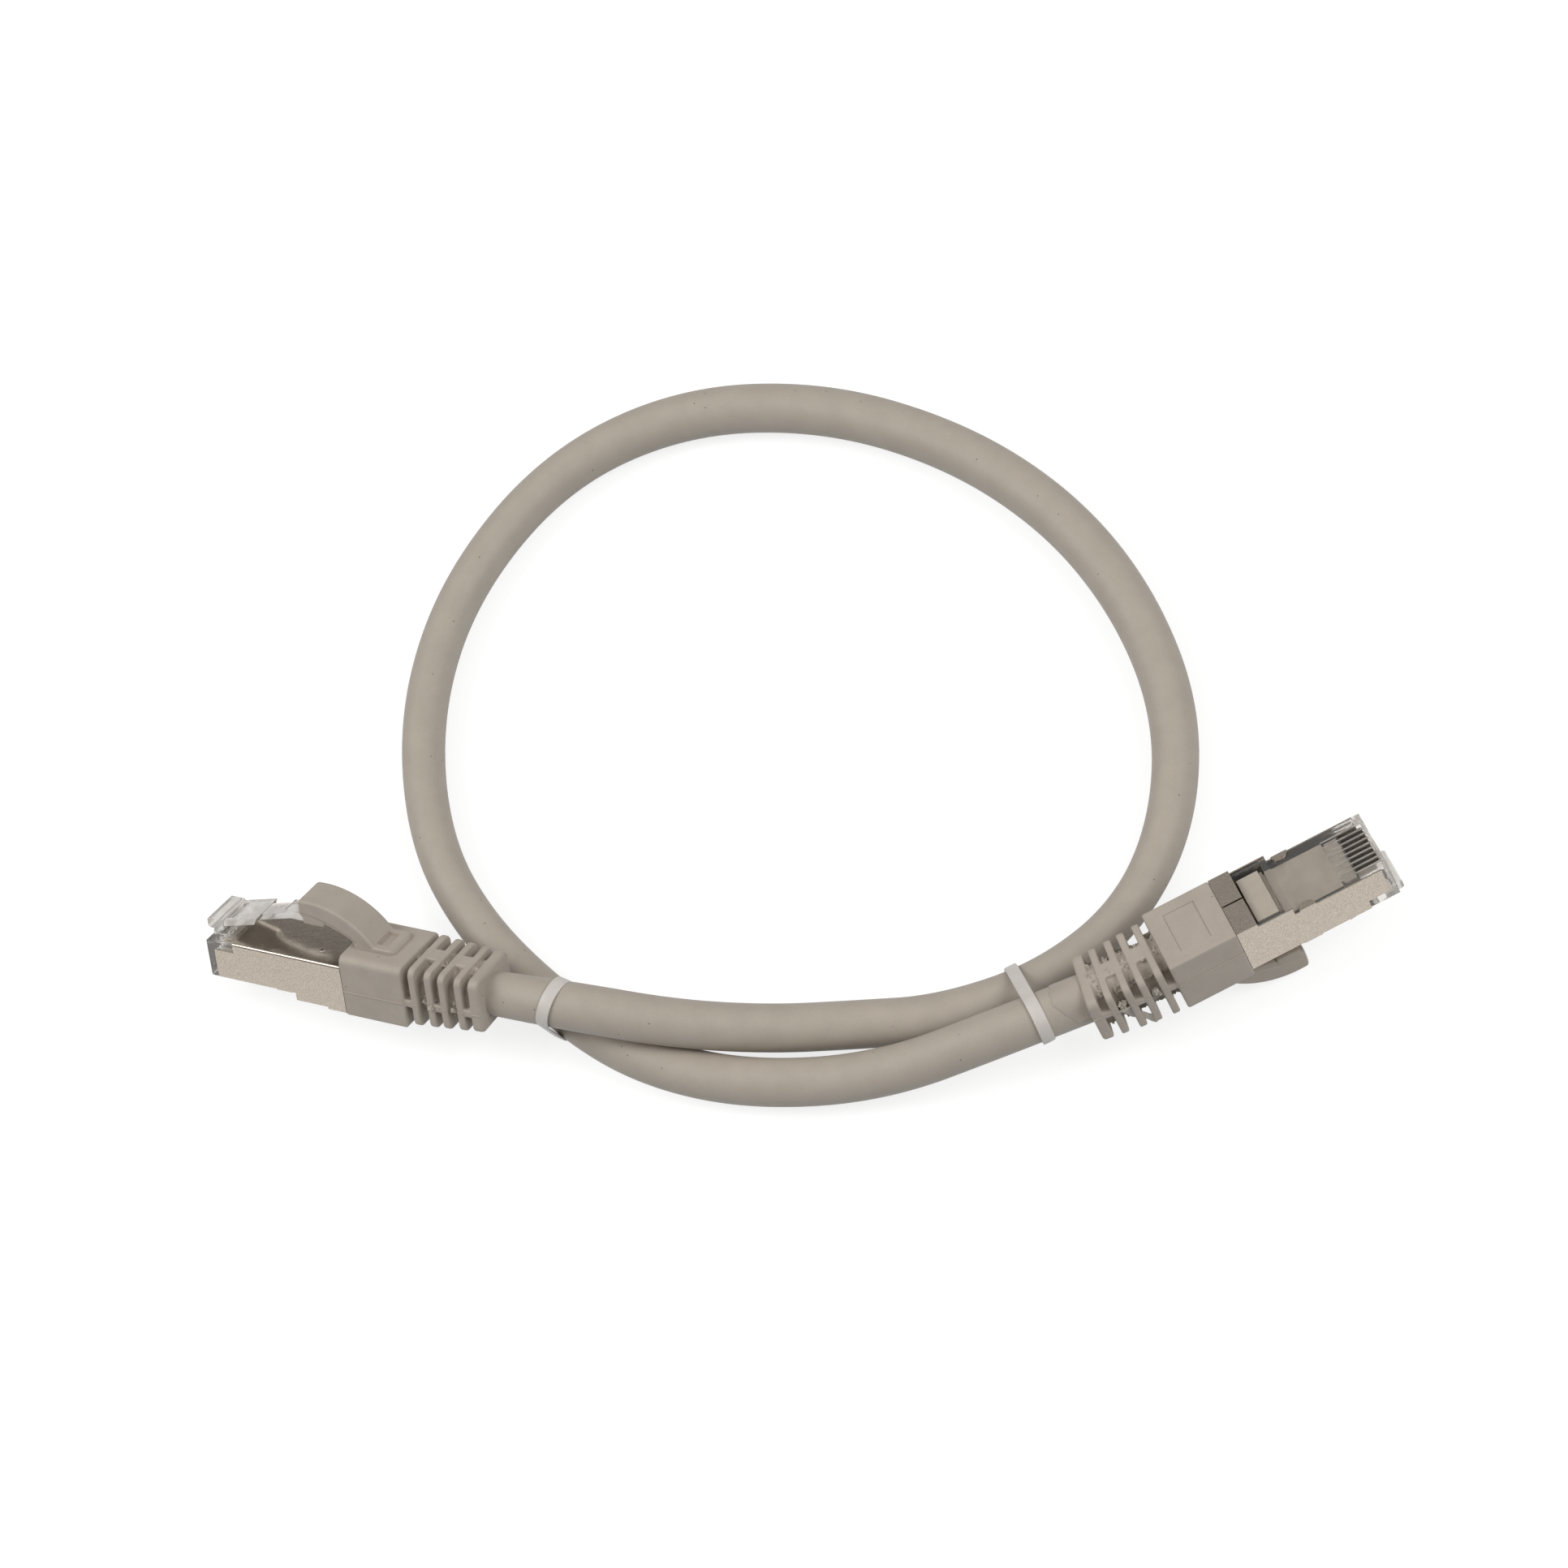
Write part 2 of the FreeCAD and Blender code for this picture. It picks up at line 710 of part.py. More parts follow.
def latch_guard():
    tip_top = (guard_tip_x + guard_tip_round, guard_top_z)
    tip_bottom = (guard_tip_x + guard_tip_round, guard_under_z)
    crest = (guard_tip_x + guard_crest_setback, guard_top_z + guard_crest_rise)
    root_back = root_point(guard_back_angle)
    root_front = root_point(guard_front_angle)
    top_middle = (guard_root_x - guard_top_ahead, guard_root_z + guard_top_rise)
    under_middle = (guard_root_x - guard_under_ahead, guard_root_z + guard_under_rise)
    edges = [
        arc_edge(tip_bottom, (guard_tip_x, (guard_top_z + guard_under_z) / 2), tip_top),
        Part.makeLine(side_point(*tip_top), side_point(*crest)),
        arc_edge(crest, top_middle, root_back),
        Part.makeLine(side_point(*root_back), side_point(*root_front)),
        arc_edge(root_front, under_middle, tip_bottom),
    ]
    root = cross_cylinder(guard_root_x, guard_root_z, guard_root_radius, guard_width)
    return side_prism(edges, guard_width).fuse(root).removeSplitter()


def latch():
    block_bottom = housing_height + latch_block_gap
    block_top = block_bottom + latch_block_height
    block = side_prism(polygon_edges([
        (-latch_front_reach, block_bottom + latch_block_bevel),
        (-latch_front_reach + latch_block_bevel, block_bottom),
        (latch_block_end, block_bottom),
        (latch_block_end, block_top),
        (-latch_front_reach + latch_block_bevel, block_top),
        (-latch_front_reach, block_top - latch_block_bevel),
    ]), latch_block_width)
    plate_z = housing_height + latch_plate_gap
    slope = (latch_tab_z - plate_z) / (latch_bend_x - latch_block_end)
    rise = latch_thickness * math.hypot(1, slope)
    plate_start = latch_block_end - latch_thickness
    start_z = plate_z - slope * latch_thickness
    strip = polygon_edges([
        (plate_start, start_z),
        (latch_bend_x, latch_tab_z),
        (latch_end_x, latch_tab_z),
        (latch_end_x, latch_tab_z + latch_thickness),
        (latch_bend_x, latch_tab_z + latch_thickness),
        (plate_start, start_z + rise),
    ])
    tab = side_prism(strip, latch_tab_width)
    shoulder_z = plate_z + slope * (latch_shoulder_x - latch_block_end)
    shoulder_top_z = shoulder_z + rise + slope * latch_shoulder_lean
    plate = side_prism(polygon_edges([
        (plate_start, start_z),
        (latch_shoulder_x, shoulder_z),
        (latch_shoulder_x + latch_shoulder_lean, shoulder_top_z),
        (plate_start, start_z + rise),
    ]), latch_plate_width)
    pad = centred_box(latch_pad_start, latch_pad_start + latch_pad_length, latch_tab_width,
                      latch_tab_z + latch_thickness / 2, latch_tab_z + latch_thickness + latch_pad_rise)
    slot = centred_box(latch_slot_start, latch_slot_start + latch_slot_length, latch_slot_width,
                       housing_height, block_top + 2)
    web = centred_box(latch_root_x - latch_web_thickness / 2, latch_root_x + latch_web_thickness / 2,
                      latch_block_width, latch_root_z, block_bottom + latch_block_bevel)
    root = cross_cylinder(latch_root_x, latch_root_z, latch_root_radius, latch_block_width)
    return block.fuse([plate, tab, pad, web, root]).cut(slot).removeSplitter()


# Laying the plugs down and joining them with the cable

def plug_pieces(bend):
    return {
        "plug_housing": plug_housing(),
        "contacts": contacts(),
        "conductors": conductors(),
        "load_bar": load_bar(),
        "strain_relief_bar": strain_relief_bar(),
        "shield_shell": shield_shell(),
        "braid_sleeve": braid_sleeve(),
        "crimp_ferrule": crimp_ferrule(),
        "jacket_end": jacket_end(bend),
        "boot": boot(bend),
        "latch_guard": latch_guard(),
        "latch": latch(),
    }


def placed(shape, place):
    moved = shape.copy()
    moved.Placement = place.multiply(moved.Placement)
    return moved


def lay_down(pieces, nose, turn, tilt, roll):
    """The place that puts the nose over its point and the lowest corner on the surface."""
    lean = Placement(Vector(0, 0, 0), Rotation(turn, -tilt, roll))
    turned = Part.makeCompound([placed(shape, lean) for shape in pieces.values()])
    lowest = turned.optimalBoundingBox(False).ZMin
    return Placement(Vector(nose[0], nose[1], -lowest), Rotation(turn, -tilt, roll))


def cable_exit(place, bend):
    """Where the cable leaves the collar, and the direction in which it leaves."""
    end = place.multiply(on_bend(bend, relief_length))
    return end.Base, end.Rotation.multVec(Vector(1, 0, 0))


def route_points(left_exit, right_exit):
    left_point, left_way = left_exit
    right_point, right_way = right_exit
    points = [left_point, left_point + left_way * exit_run]
    points += [Vector(*place) for place in route]
    points += [right_point + right_way * exit_run, right_point]
    return points


def hollow_cable(path, start, direction):
    outer = Part.Wire(Part.makeCircle(cable_radius, start, direction))
    inner = Part.Wire(Part.makeCircle(cable_radius - jacket_wall, start, direction))
    return path.makePipeShell([outer], True, False).cut(path.makePipeShell([inner], True, False))


def strand_crossings(path, centre, normal):
    """Where, and which way, the cable passes through the plane of a band, close to the band."""
    found = []
    steps = path.discretize(Distance=0.5)
    for first, second in zip(steps, steps[1:]):
        before = (first - centre).dot(normal)
        after = (second - centre).dot(normal)
        if before * after > 0 or (first - centre).Length > band_reach:
            continue
        crossing = first + (second - first) * (before / (before - after))
        way = second - first
        way.normalize()
        if way.dot(normal) < 0:
            way = -way
        if all((crossing - other).Length > cable_radius for other, other_way in found):
            found.append((crossing, way))
    return found[:2]


def belt_face(first, second, normal, radius):
    """A belt-shaped face round two points."""
    way = second - first
    way.normalize()
    side = normal.cross(way)
    start = Part.Arc(first + side * radius, first - way * radius, first - side * radius).toShape()
    end = Part.Arc(second - side * radius, second + way * radius, second + side * radius).toShape()
    near = Part.makeLine(first - side * radius, second - side * radius)
    far = Part.makeLine(second + side * radius, first + side * radius)
    return Part.Face(Part.Wire([start, near, end, far]))


def band(path, cable_exit_point, direction, distance):
    """A flat elastic band round both strands, square to their mean direction."""
    centre = cable_exit_point + direction * distance
    (first, first_way), (second, second_way) = strand_crossings(path, centre, direction)
    normal = first_way + second_way
    normal.normalize()
    (first, first_way), (second, second_way) = strand_crossings(path, centre, normal)
    inner = cable_radius + band_clearance
    shift = normal * (-band_width / 2)
    outside = belt_face(first + shift, second + shift, normal, inner + band_thickness)
    inside = belt_face(first + shift, second + shift, normal, inner)
    return outside.cut(inside).extrude(normal * band_width)


def save(name, shape):
    shape.exportStep(f"parts/{name}.step")


def save_plug(side, pieces, place):
    for name, shape in pieces.items():
        save(f"{side}_{name}", placed(shape, place))


def main():
    os.makedirs("parts", exist_ok=True)
    left_pieces = plug_pieces(left_bend)
    right_pieces = plug_pieces(right_bend)
    left_place = lay_down(left_pieces, left_nose, left_turn, left_tilt, left_roll)
    right_place = lay_down(right_pieces, right_nose, right_turn, right_tilt, right_roll)
    left_exit = cable_exit(left_place, left_bend)
    right_exit = cable_exit(right_place, right_bend)
    points = route_points(left_exit, right_exit)
    path, radii = bent_path(points)
    jacket = hollow_cable(path, points[0], left_exit[1])
    core_radius = cable_radius - jacket_wall - core_clearance
    core = tube(points, core_radius)
    save_plug("left", left_pieces, left_place)
    save_plug("right", right_pieces, right_place)
    save("cable_jacket", jacket)
    save("cable_core", core)
    save("left_band", band(path, *left_exit, left_band_distance))
    save("right_band", band(path, *right_exit, right_band_distance))
    section = math.pi * (cable_radius ** 2 - (cable_radius - jacket_wall) ** 2)
    print("cable length", round(path.Length, 1))
    print("jacket volume", round(jacket.Volume, 1), "section times length", round(section * path.Length, 1))
    print("core volume", round(core.Volume, 1), "section times length",
          round(math.pi * core_radius ** 2 * path.Length, 1))
    print("arc radii", [round(radius, 1) for radius in radii])
    for name, (point, way) in (("left", left_exit), ("right", right_exit)):
        print(name, "exit", [round(value, 2) for value in point], "way", [round(value, 4) for value in way])


main()
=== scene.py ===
import math

import bmesh
import bpy
from mathutils import Matrix, Vector, noise


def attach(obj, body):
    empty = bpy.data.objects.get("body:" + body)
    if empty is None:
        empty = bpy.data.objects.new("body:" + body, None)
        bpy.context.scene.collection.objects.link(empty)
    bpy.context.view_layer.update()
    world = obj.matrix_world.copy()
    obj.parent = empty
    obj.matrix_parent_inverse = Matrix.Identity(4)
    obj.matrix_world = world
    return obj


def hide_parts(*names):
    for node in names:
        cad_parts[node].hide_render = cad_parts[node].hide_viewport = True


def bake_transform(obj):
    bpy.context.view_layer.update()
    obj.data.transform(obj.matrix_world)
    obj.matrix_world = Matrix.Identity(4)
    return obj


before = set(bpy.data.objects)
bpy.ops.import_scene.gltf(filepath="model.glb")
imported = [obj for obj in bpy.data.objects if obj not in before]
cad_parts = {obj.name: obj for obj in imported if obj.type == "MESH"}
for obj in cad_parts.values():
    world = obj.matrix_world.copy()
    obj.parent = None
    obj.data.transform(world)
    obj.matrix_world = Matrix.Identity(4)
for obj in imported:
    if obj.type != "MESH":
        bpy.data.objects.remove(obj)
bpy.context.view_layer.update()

# Every object is in metres. A plug's pieces are drawn in millimetres in the plug's own frame: x runs back
# from the nose, y across, and z up from the contact face towards the latch.
MM = 0.001

# Where each plug's frame lies, and how far its strain relief bends
plugs = {
    "left": {"base": (-89.4, 11.7, 2.9854), "turn": -21.0, "tilt": 7.0, "roll": -31.0, "bend": 3.5},
    "right": {"base": (88.1, 5.4, 16.1985), "turn": -157.0, "tilt": -2.5, "roll": -166.2, "bend": 7.5},
}

# Boot and strain relief, as in the CAD model
boot_start = 24.1
boot_end = 35.0
boot_width = 11.9
boot_bottom = -2.0
boot_top = 8.45
boot_top_radius = 1.25
boot_bottom_radius = 0.4
boot_edge = 0.3
parting_height = 2.35
cable_radius = 3.65
cable_height = 3.2
core_radius = 4.15
relief_length = 12.6
rib_thickness = 1.15
side_gap = 1.1
bridge_gap = 1.5
collar_length = 1.7
rib_width = (11.4, 10.4)
rib_top = (8.6, 8.0)
rib_bottom = (-1.8, -1.0)
rib_radius = 1.2
rib_edge = 0.22
link_height = 1.3
bridge_width = 2.8
collar_chamfer = 0.5
rib_count = 4
link_corner = 0.25
link_edge = 0.05
link_inset = 0.05
core_reach = 0.97
core_overlap = 1
core_lump_radius = 3.85
core_lump_size = (0.7, 0.85, 0.85)
core_lump_step = 40
core_lump_twist = 17
panel_start = 27.4
panel_length = 4.8
panel_width = 7.4
panel_depth = 0.2
panel_spread = 0.1
panel_floor_spread = 0.02
cutter_reach = 0.5
ridge_size = 0.11
ridge_corner = 0.05
ridge_edge = 0.04
ridge_front_gap = 0.1
ridge_back_gap = 0.15
ridge_rib_gap = 0.12
boot_voxel = 0.13

# Flash at the parting line: distance behind the block, y, z and half sizes of each crumb
flash_crumbs = {
    "left": [
        (3.2, -4.7, 2.9, (0.55, 0.45, 0.5)),
        (4.5, -5.7, 2.5, (0.5, 0.3, 0.5)),
        (5.6, -5.6, 2.5, (0.2, 0.12, 0.15)),
        (8.1, -5.3, 2.6, (0.5, 0.3, 0.35)),
    ],
    "right": [
        (3.0, -5.1, 1.9, (0.6, 0.45, 0.75)),
        (2.6, -5.5, 2.5, (0.2, 0.2, 0.3)),
        (7.9, -5.0, 1.7, (0.65, 0.45, 0.8)),
        (7.9, -5.45, 2.4, (1.1, 0.16, 0.22)),
    ],
}

# Thin sheet of flash between the right boot's ribs: its two ends (distance, z), its place across, and its
# half length and direction
sheet_first = (8.4, 2.8)
sheet_last = (4.3, 8.3)
sheet_side = -4.75
sheet_half = 0.62
sheet_way = (0.85, 0, 0.53)
sheet_half_thickness = 0.06

# Thin skin of the boot's material on the cable behind the right collar
skin_first_angle = -74
skin_turn = 136
skin_reach = 2.3
skin_growth = 2.2
skin_rise = 0.13
skin_first_rise = 0.22
skin_foot = 0.2
skin_tip_rise = 0.04

# Contact slots and blades. The slots and blades are drawn a little wider than they are, so that each shows.
contact_rows = 8
contact_pitch = 1.016
slot_start = 0.6
slot_end = 4.5
slot_half = 0.25
slot_widening = 1.3
blade_half = 0.175
blade_widening = 1.2

# Face plate of the insert that is seen through the housing: places x with half widths
plate_outline = [(4.7, 4.2), (6.6, 4.2), (6.9, 3.4), (9.3, 3.4), (10.2, 4.55), (16.8, 4.55)]
plate_bottom = 0.98
plate_top = 1.7

# Moulded ridges between the contact slots, and the nose's front edge
slot_ridge_half = 0.11
slot_ridge_end = 7.1
slot_ridge_rise = 0.2
nose_edge_start = 0.08
nose_edge_end = 0.5
nose_edge_rise = 0.35
nose_edge_softness = 0.06

# Face of the strain relief bar in the window
face_start = 17.0
face_end = 20.5
face_half = 4.4
face_bottom = -0.7
face_top = 1.0

# Folds of the shell
plug_half = 5.84
fold_heights = (6.6, -1.9, -0.25)
fold_radius = 0.4
same_place = 0.01

# Pad and latch guard. Both lines run from the guard's tip to its root, as (x, z), with one arc each.
guard_width = 6.0
guard_tip_top = [(16.7, 15.15), (17.2, 15.17)]
guard_top_arc = ((17.2, 15.17), (22.7, 14.25), (28.9, 9.35))
guard_tip_under = [(16.5, 12.0), (16.8, 12.02)]
guard_under_arc = ((16.8, 12.02), (21.4, 11.1), (24.75, 9.6))
guard_root_under = [(25.0, 9.2), (25.1, 8.8), (25.3, 8.3)]
guard_corner = 0.35
guard_chamfer = 0.1
guard_tip_depth = 0.5
guard_tip_inset = 0.4
guard_steps = 36
guard_voxel = 0.09
lip_height = 0.85
lip_step = 0.22
lip_slope = 0.06
pad_start = 25.4
pad_end = 32.3
pad_top = 9.3
pad_foot = 1.0
pad_bottom_radius = 0.2
pad_top_radius = 0.3
pad_front_edge = 0.35
pad_back_edge = 0.9
recess_start = 28.9
recess_length = 1.8
recess_width = 3.4
recess_depth = 0.45
recess_spread = 0.1
recess_floor_spread = -0.04
recess_lip = 0.12
recess_reach = 3.0

# Side walls under the guard's tip, one on each side of the latch
wall_y = 2.4
wall_thickness = 0.9
wall_corner = 0.2
wall_start = 16.6
wall_end = 20.4
wall_bottom = 11.0
wall_top = 12.7

# Cable, with the same route as the CAD model. The photographed jacket is a little uneven: each point also
# has the cable's thickness there, as a share of its mean.
route_mm = [
    (-44.88, -3.27, 11.31, 0.93),
    (-32.57, -7.27, 12.49, 1.02),
    (-17.7, -10.3, 9.6, 1.0),
    (-4.2, -10.6, 5.3, 1.0),
    (8.7, -10.5, 3.8, 1.0),
    (21.5, -11.0, 4.0, 0.99),
    (37.3, -6.9, 4.3, 0.93),
    (50.1, 3.3, 3.6, 0.85),
    (57.2, 18.1, 3.65, 0.95),
    (58.3, 36.8, 3.75, 1.0),
    (52.2, 56.1, 3.9, 1.05),
    (41.4, 73.0, 4.0, 1.08),
    (25.2, 87.3, 3.95, 1.06),
    (4.2, 97.2, 3.95, 1.07),
    (-18.7, 99.4, 3.9, 1.05),
    (-39.2, 91.4, 3.7, 0.965),
    (-54.2, 73.0, 3.6, 0.93),
    (-60.5, 51.6, 3.6, 0.925),
    (-58.7, 28.6, 3.6, 0.915),
    (-50.5, 11.7, 3.6, 0.91),
    (-36.2, -4.1, 4.1, 0.95),
    (-23.6, -13.4, 4.0, 1.0),
    (-7.8, -18.7, 3.7, 1.0),
    (12.4, -20.0, 5.0, 1.0),
    (32.0, -16.59, 9.86, 0.99),
    (44.48, -13.08, 10.82, 0.99),
]

# Bands round both strands
band_width = 2.0
band_thickness = 0.3
band_clearance = 0.06
band_lean = 5.0
band_sway = 0.06
band_steps = 24
band_distance = {"left": 9.8, "right": 7.7}

# Section of a band: shares of its half width and of its thickness
band_profile = [(-0.94, 0.0), (0.94, 0.0), (1.0, 0.3), (0.97, 0.8), (0.8, 1.0), (0.0, 1.06), (-0.8, 1.0),
                (-0.97, 0.8), (-1.0, 0.3)]

# Camera and light, in metres. The camera stands where the photograph was taken from.
lens_mm = 127.5
sensor_mm = 36
camera_place = (0.16225, -0.35751, 0.73664)
camera_right = (0.97569, 0, -0.21915)
camera_back = (0.19465, -0.45942, 0.86663)
softbox_height = 1.05
softbox_distance = 0.95
softbox_size = 0.8
softbox_power = 8
lit_place = (0, 0.03, 0)
floor_half = 3.0


# Placing

def plug_matrix(side):
    pose = plugs[side]
    turn = Matrix.Rotation(math.radians(pose["turn"]), 4, "Z")
    tilt = Matrix.Rotation(math.radians(-pose["tilt"]), 4, "Y")
    roll = Matrix.Rotation(math.radians(pose["roll"]), 4, "X")
    return Matrix.Translation(Vector(pose["base"]) * MM) @ turn @ tilt @ roll @ Matrix.Scale(MM, 4)


def on_bend(side, distance):
    """The frame on the bent cable axis, at a distance behind the boot's block."""
    bend = plugs[side]["bend"]
    turn = math.radians(bend * distance / relief_length)
    radius = relief_length / math.radians(bend)
    place = Vector((boot_end + radius * math.sin(turn), radius * (1 - math.cos(turn)), cable_height))
    return Matrix.Translation(place) @ Matrix.Rotation(turn, 4, "Z")


# Mesh helpers

def rounded_rectangle(width, bottom, top, bottom_radius, top_radius, inset=0.0, steps=5):
    """Corners (y, z) of a rounded rectangle, anticlockwise, drawn in by the inset."""
    half = width / 2 - inset
    low = bottom + inset
    high = top - inset
    corners = []
    for centre_y, centre_z, radius, first in (
        (1, 1, top_radius, 0),
        (-1, 1, top_radius, 90),
        (-1, -1, bottom_radius, 180),
        (1, -1, bottom_radius, 270),
    ):
        radius = max(radius - inset, 0.05)
        middle_y = centre_y * (half - radius)
        middle_z = high - radius if centre_z > 0 else low + radius
        for step in range(steps + 1):
            angle = math.radians(first + 90 * step / steps)
            corners.append((middle_y + radius * math.cos(angle), middle_z + radius * math.sin(angle)))
    return corners


def join_rings(bm, first, second):
    """Faces between two rings of vertices."""
    for index in range(len(first)):
        after = (index + 1) % len(first)
        bm.faces.new((first[index], first[after], second[after], second[index]))


def add_loft(bm, rings):
    """A closed skin over rings with the same number of points."""
    loops = [[bm.verts.new(point) for point in ring] for ring in rings]
    for first, second in zip(loops, loops[1:]):
        join_rings(bm, first, second)
    bm.faces.new(list(reversed(loops[0])))
    bm.faces.new(loops[-1])


def rounded_end(place, edge, inward):
    """Stations (x, inset) that round a bar's end, from the full section out to the end."""
    stations = []
    for step in range(4):
        angle = math.radians(30 * step)
        stations.append((place + inward * edge * (1 - math.sin(angle)), edge * (1 - math.cos(angle))))
    return stations


def add_bar(bm, place, start, end, section, edge, end_edge=None):
    """A bar along x with rounded ends. section gives a ring's (y, z) corners for an inset."""
    end_edge = edge if end_edge is None else end_edge
    stations = list(reversed(rounded_end(start, edge, 1))) + rounded_end(end, end_edge, -1)
    add_loft(bm, [[place @ Vector((x, y, z)) for y, z in section(inset)] for x, inset in stations])


def add_tube(bm, points, radius, steps=32):
    """A round bar along points, with its rings square to the run."""
    rings = []
    for index, point in enumerate(points):
        before = points[max(index - 1, 0)]
        after = points[min(index + 1, len(points) - 1)]
        way = (after - before).normalized()
        side = way.orthogonal().normalized()
        if index:
            side = (last_side - way * last_side.dot(way)).normalized()
        last_side = side
        up = way.cross(side)
        rings.append([point + (side * math.cos(a) + up * math.sin(a)) * radius
                      for a in (2 * math.pi * step / steps for step in range(steps))])
    add_loft(bm, rings)


def new_object(name, bm):
    """An object from a bmesh, with its faces turned outwards."""
    bmesh.ops.recalc_face_normals(bm, faces=bm.faces)
    mesh = bpy.data.meshes.new(name)
    bm.to_mesh(mesh)
    bm.free()
    piece = bpy.data.objects.new(name, mesh)
    bpy.context.scene.collection.objects.link(piece)
    return piece


def bake(piece):
    """Applies the piece's modifiers to its mesh."""
    bpy.context.view_layer.update()
    ready = piece.evaluated_get(bpy.context.evaluated_depsgraph_get())
    mesh = bpy.data.meshes.new_from_object(ready)
    piece.modifiers.clear()
    old = piece.data
    piece.data = mesh
    bpy.data.meshes.remove(old)
    mesh.name = piece.name


def cut(piece, cutter_bm):
    """Takes a shape out of the piece."""
    cutter = new_object(piece.name + "_cutter", cutter_bm)
    modifier = piece.modifiers.new("cut", "BOOLEAN")
    modifier.object = cutter
    modifier.operation = "DIFFERENCE"
    modifier.solver = "EXACT"
    bake(piece)
    bpy.data.objects.remove(cutter)


def fuse_soft(piece, voxel, smooth_steps, keep):
    """Joins the piece's overlapping shapes into one soft-edged skin."""
    remesh = piece.modifiers.new("fuse", "REMESH")
    remesh.mode = "VOXEL"
    remesh.voxel_size = voxel
    remesh.adaptivity = 0.0
    smooth = piece.modifiers.new("soften", "SMOOTH")
    smooth.factor = 0.5
    smooth.iterations = smooth_steps
    thin = piece.modifiers.new("thin", "DECIMATE")
    thin.ratio = keep
    bake(piece)


def shade(piece, angle=40):
    """Smooth shading with sharp edges over the angle."""
    piece.data.shade_smooth()
    piece.data.set_sharp_from_angle(angle=math.radians(angle))


def finish_piece(piece, material, body="cable_and_plugs", angle=40):
    piece.data.materials.clear()
    piece.data.materials.append(material)
    if piece.type == "MESH" and angle:
        shade(piece, angle)
    if body:
        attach(piece, body)


def round_folds(bm):
    """Rounds the long edges where the shell's sheet is folded."""
    folds = []
    for edge in bm.edges:
        first, second = (vertex.co for vertex in edge.verts)
        lengthwise = abs(first.y - second.y) < same_place and abs(first.z - second.z) < same_place
        outside = abs(abs(first.y) - plug_half) < same_place
        if lengthwise and outside and any(abs(first.z - height) < same_place for height in fold_heights):
            folds.append(edge)
    bmesh.ops.bevel(bm, geom=folds, offset=fold_radius, segments=5, profile=0.5, affect="EDGES")


def insert_plate(bm):
    """The insert's flat face under the housing's contact side, narrower at its front."""
    outline = [(x, -half) for x, half in plate_outline]
    outline += [(x, half) for x, half in reversed(plate_outline)]
    add_loft(bm, [[Vector((x, y, z)) for x, y in outline] for z in (plate_bottom, plate_top)])


def window_face(bm):
    """The strain relief bar's face, nearly level with the housing in its window."""
    outline = [(face_start, -face_half), (face_end, -face_half)]
    outline += [(x, -y) for x, y in reversed(outline)]
    add_loft(bm, [[Vector((x, y, z)) for x, y in outline] for z in (face_bottom, face_top)])


def widen_slots(bm, half, share):
    """Widens what lies in the contacts' rows, each about its own middle. half is its half width now."""
    for vertex in bm.verts:
        row = math.floor(vertex.co.y / contact_pitch) + 0.5
        offset = vertex.co.y - row * contact_pitch
        in_slot = slot_start - same_place < vertex.co.x < slot_end + same_place
        if in_slot and abs(row) < contact_rows / 2 and abs(abs(offset) - half) < same_place:
            vertex.co.y = row * contact_pitch + offset * share


def bevelled_copy(side, node, name, width, segments=2, angle=25):
    """A copy of a CAD node with its edges rounded, as moulding and folding leave them."""
    bm = bmesh.new()
    bm.from_mesh(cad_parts[f"{side}_{node}"].data)
    bmesh.ops.remove_doubles(bm, verts=bm.verts, dist=1e-6)
    bmesh.ops.dissolve_limit(bm, angle_limit=math.radians(0.5), verts=bm.verts, edges=bm.edges)
    place = plug_matrix(side)
    bm.transform(place.inverted())
    if node == "shield_shell":
        round_folds(bm)
    if node == "load_bar":
        insert_plate(bm)
    if node == "strain_relief_bar":
        window_face(bm)
    if node == "plug_housing":
        widen_slots(bm, slot_half, slot_widening)
    if node == "contacts":
        widen_slots(bm, blade_half, blade_widening)
    bm.transform(place)
    piece = new_object(f"{side}_{name}", bm)
    bevel = piece.modifiers.new("edges", "BEVEL")
    bevel.width = width * MM
    bevel.segments = segments
    bevel.limit_method = "ANGLE"
    bevel.angle_limit = math.radians(angle)
    bevel.use_clamp_overlap = True
    bake(piece)
    shade(piece)
    piece.modifiers.new("flats", "WEIGHTED_NORMAL").keep_sharp = True
    bake(piece)
    return piece


# Materials

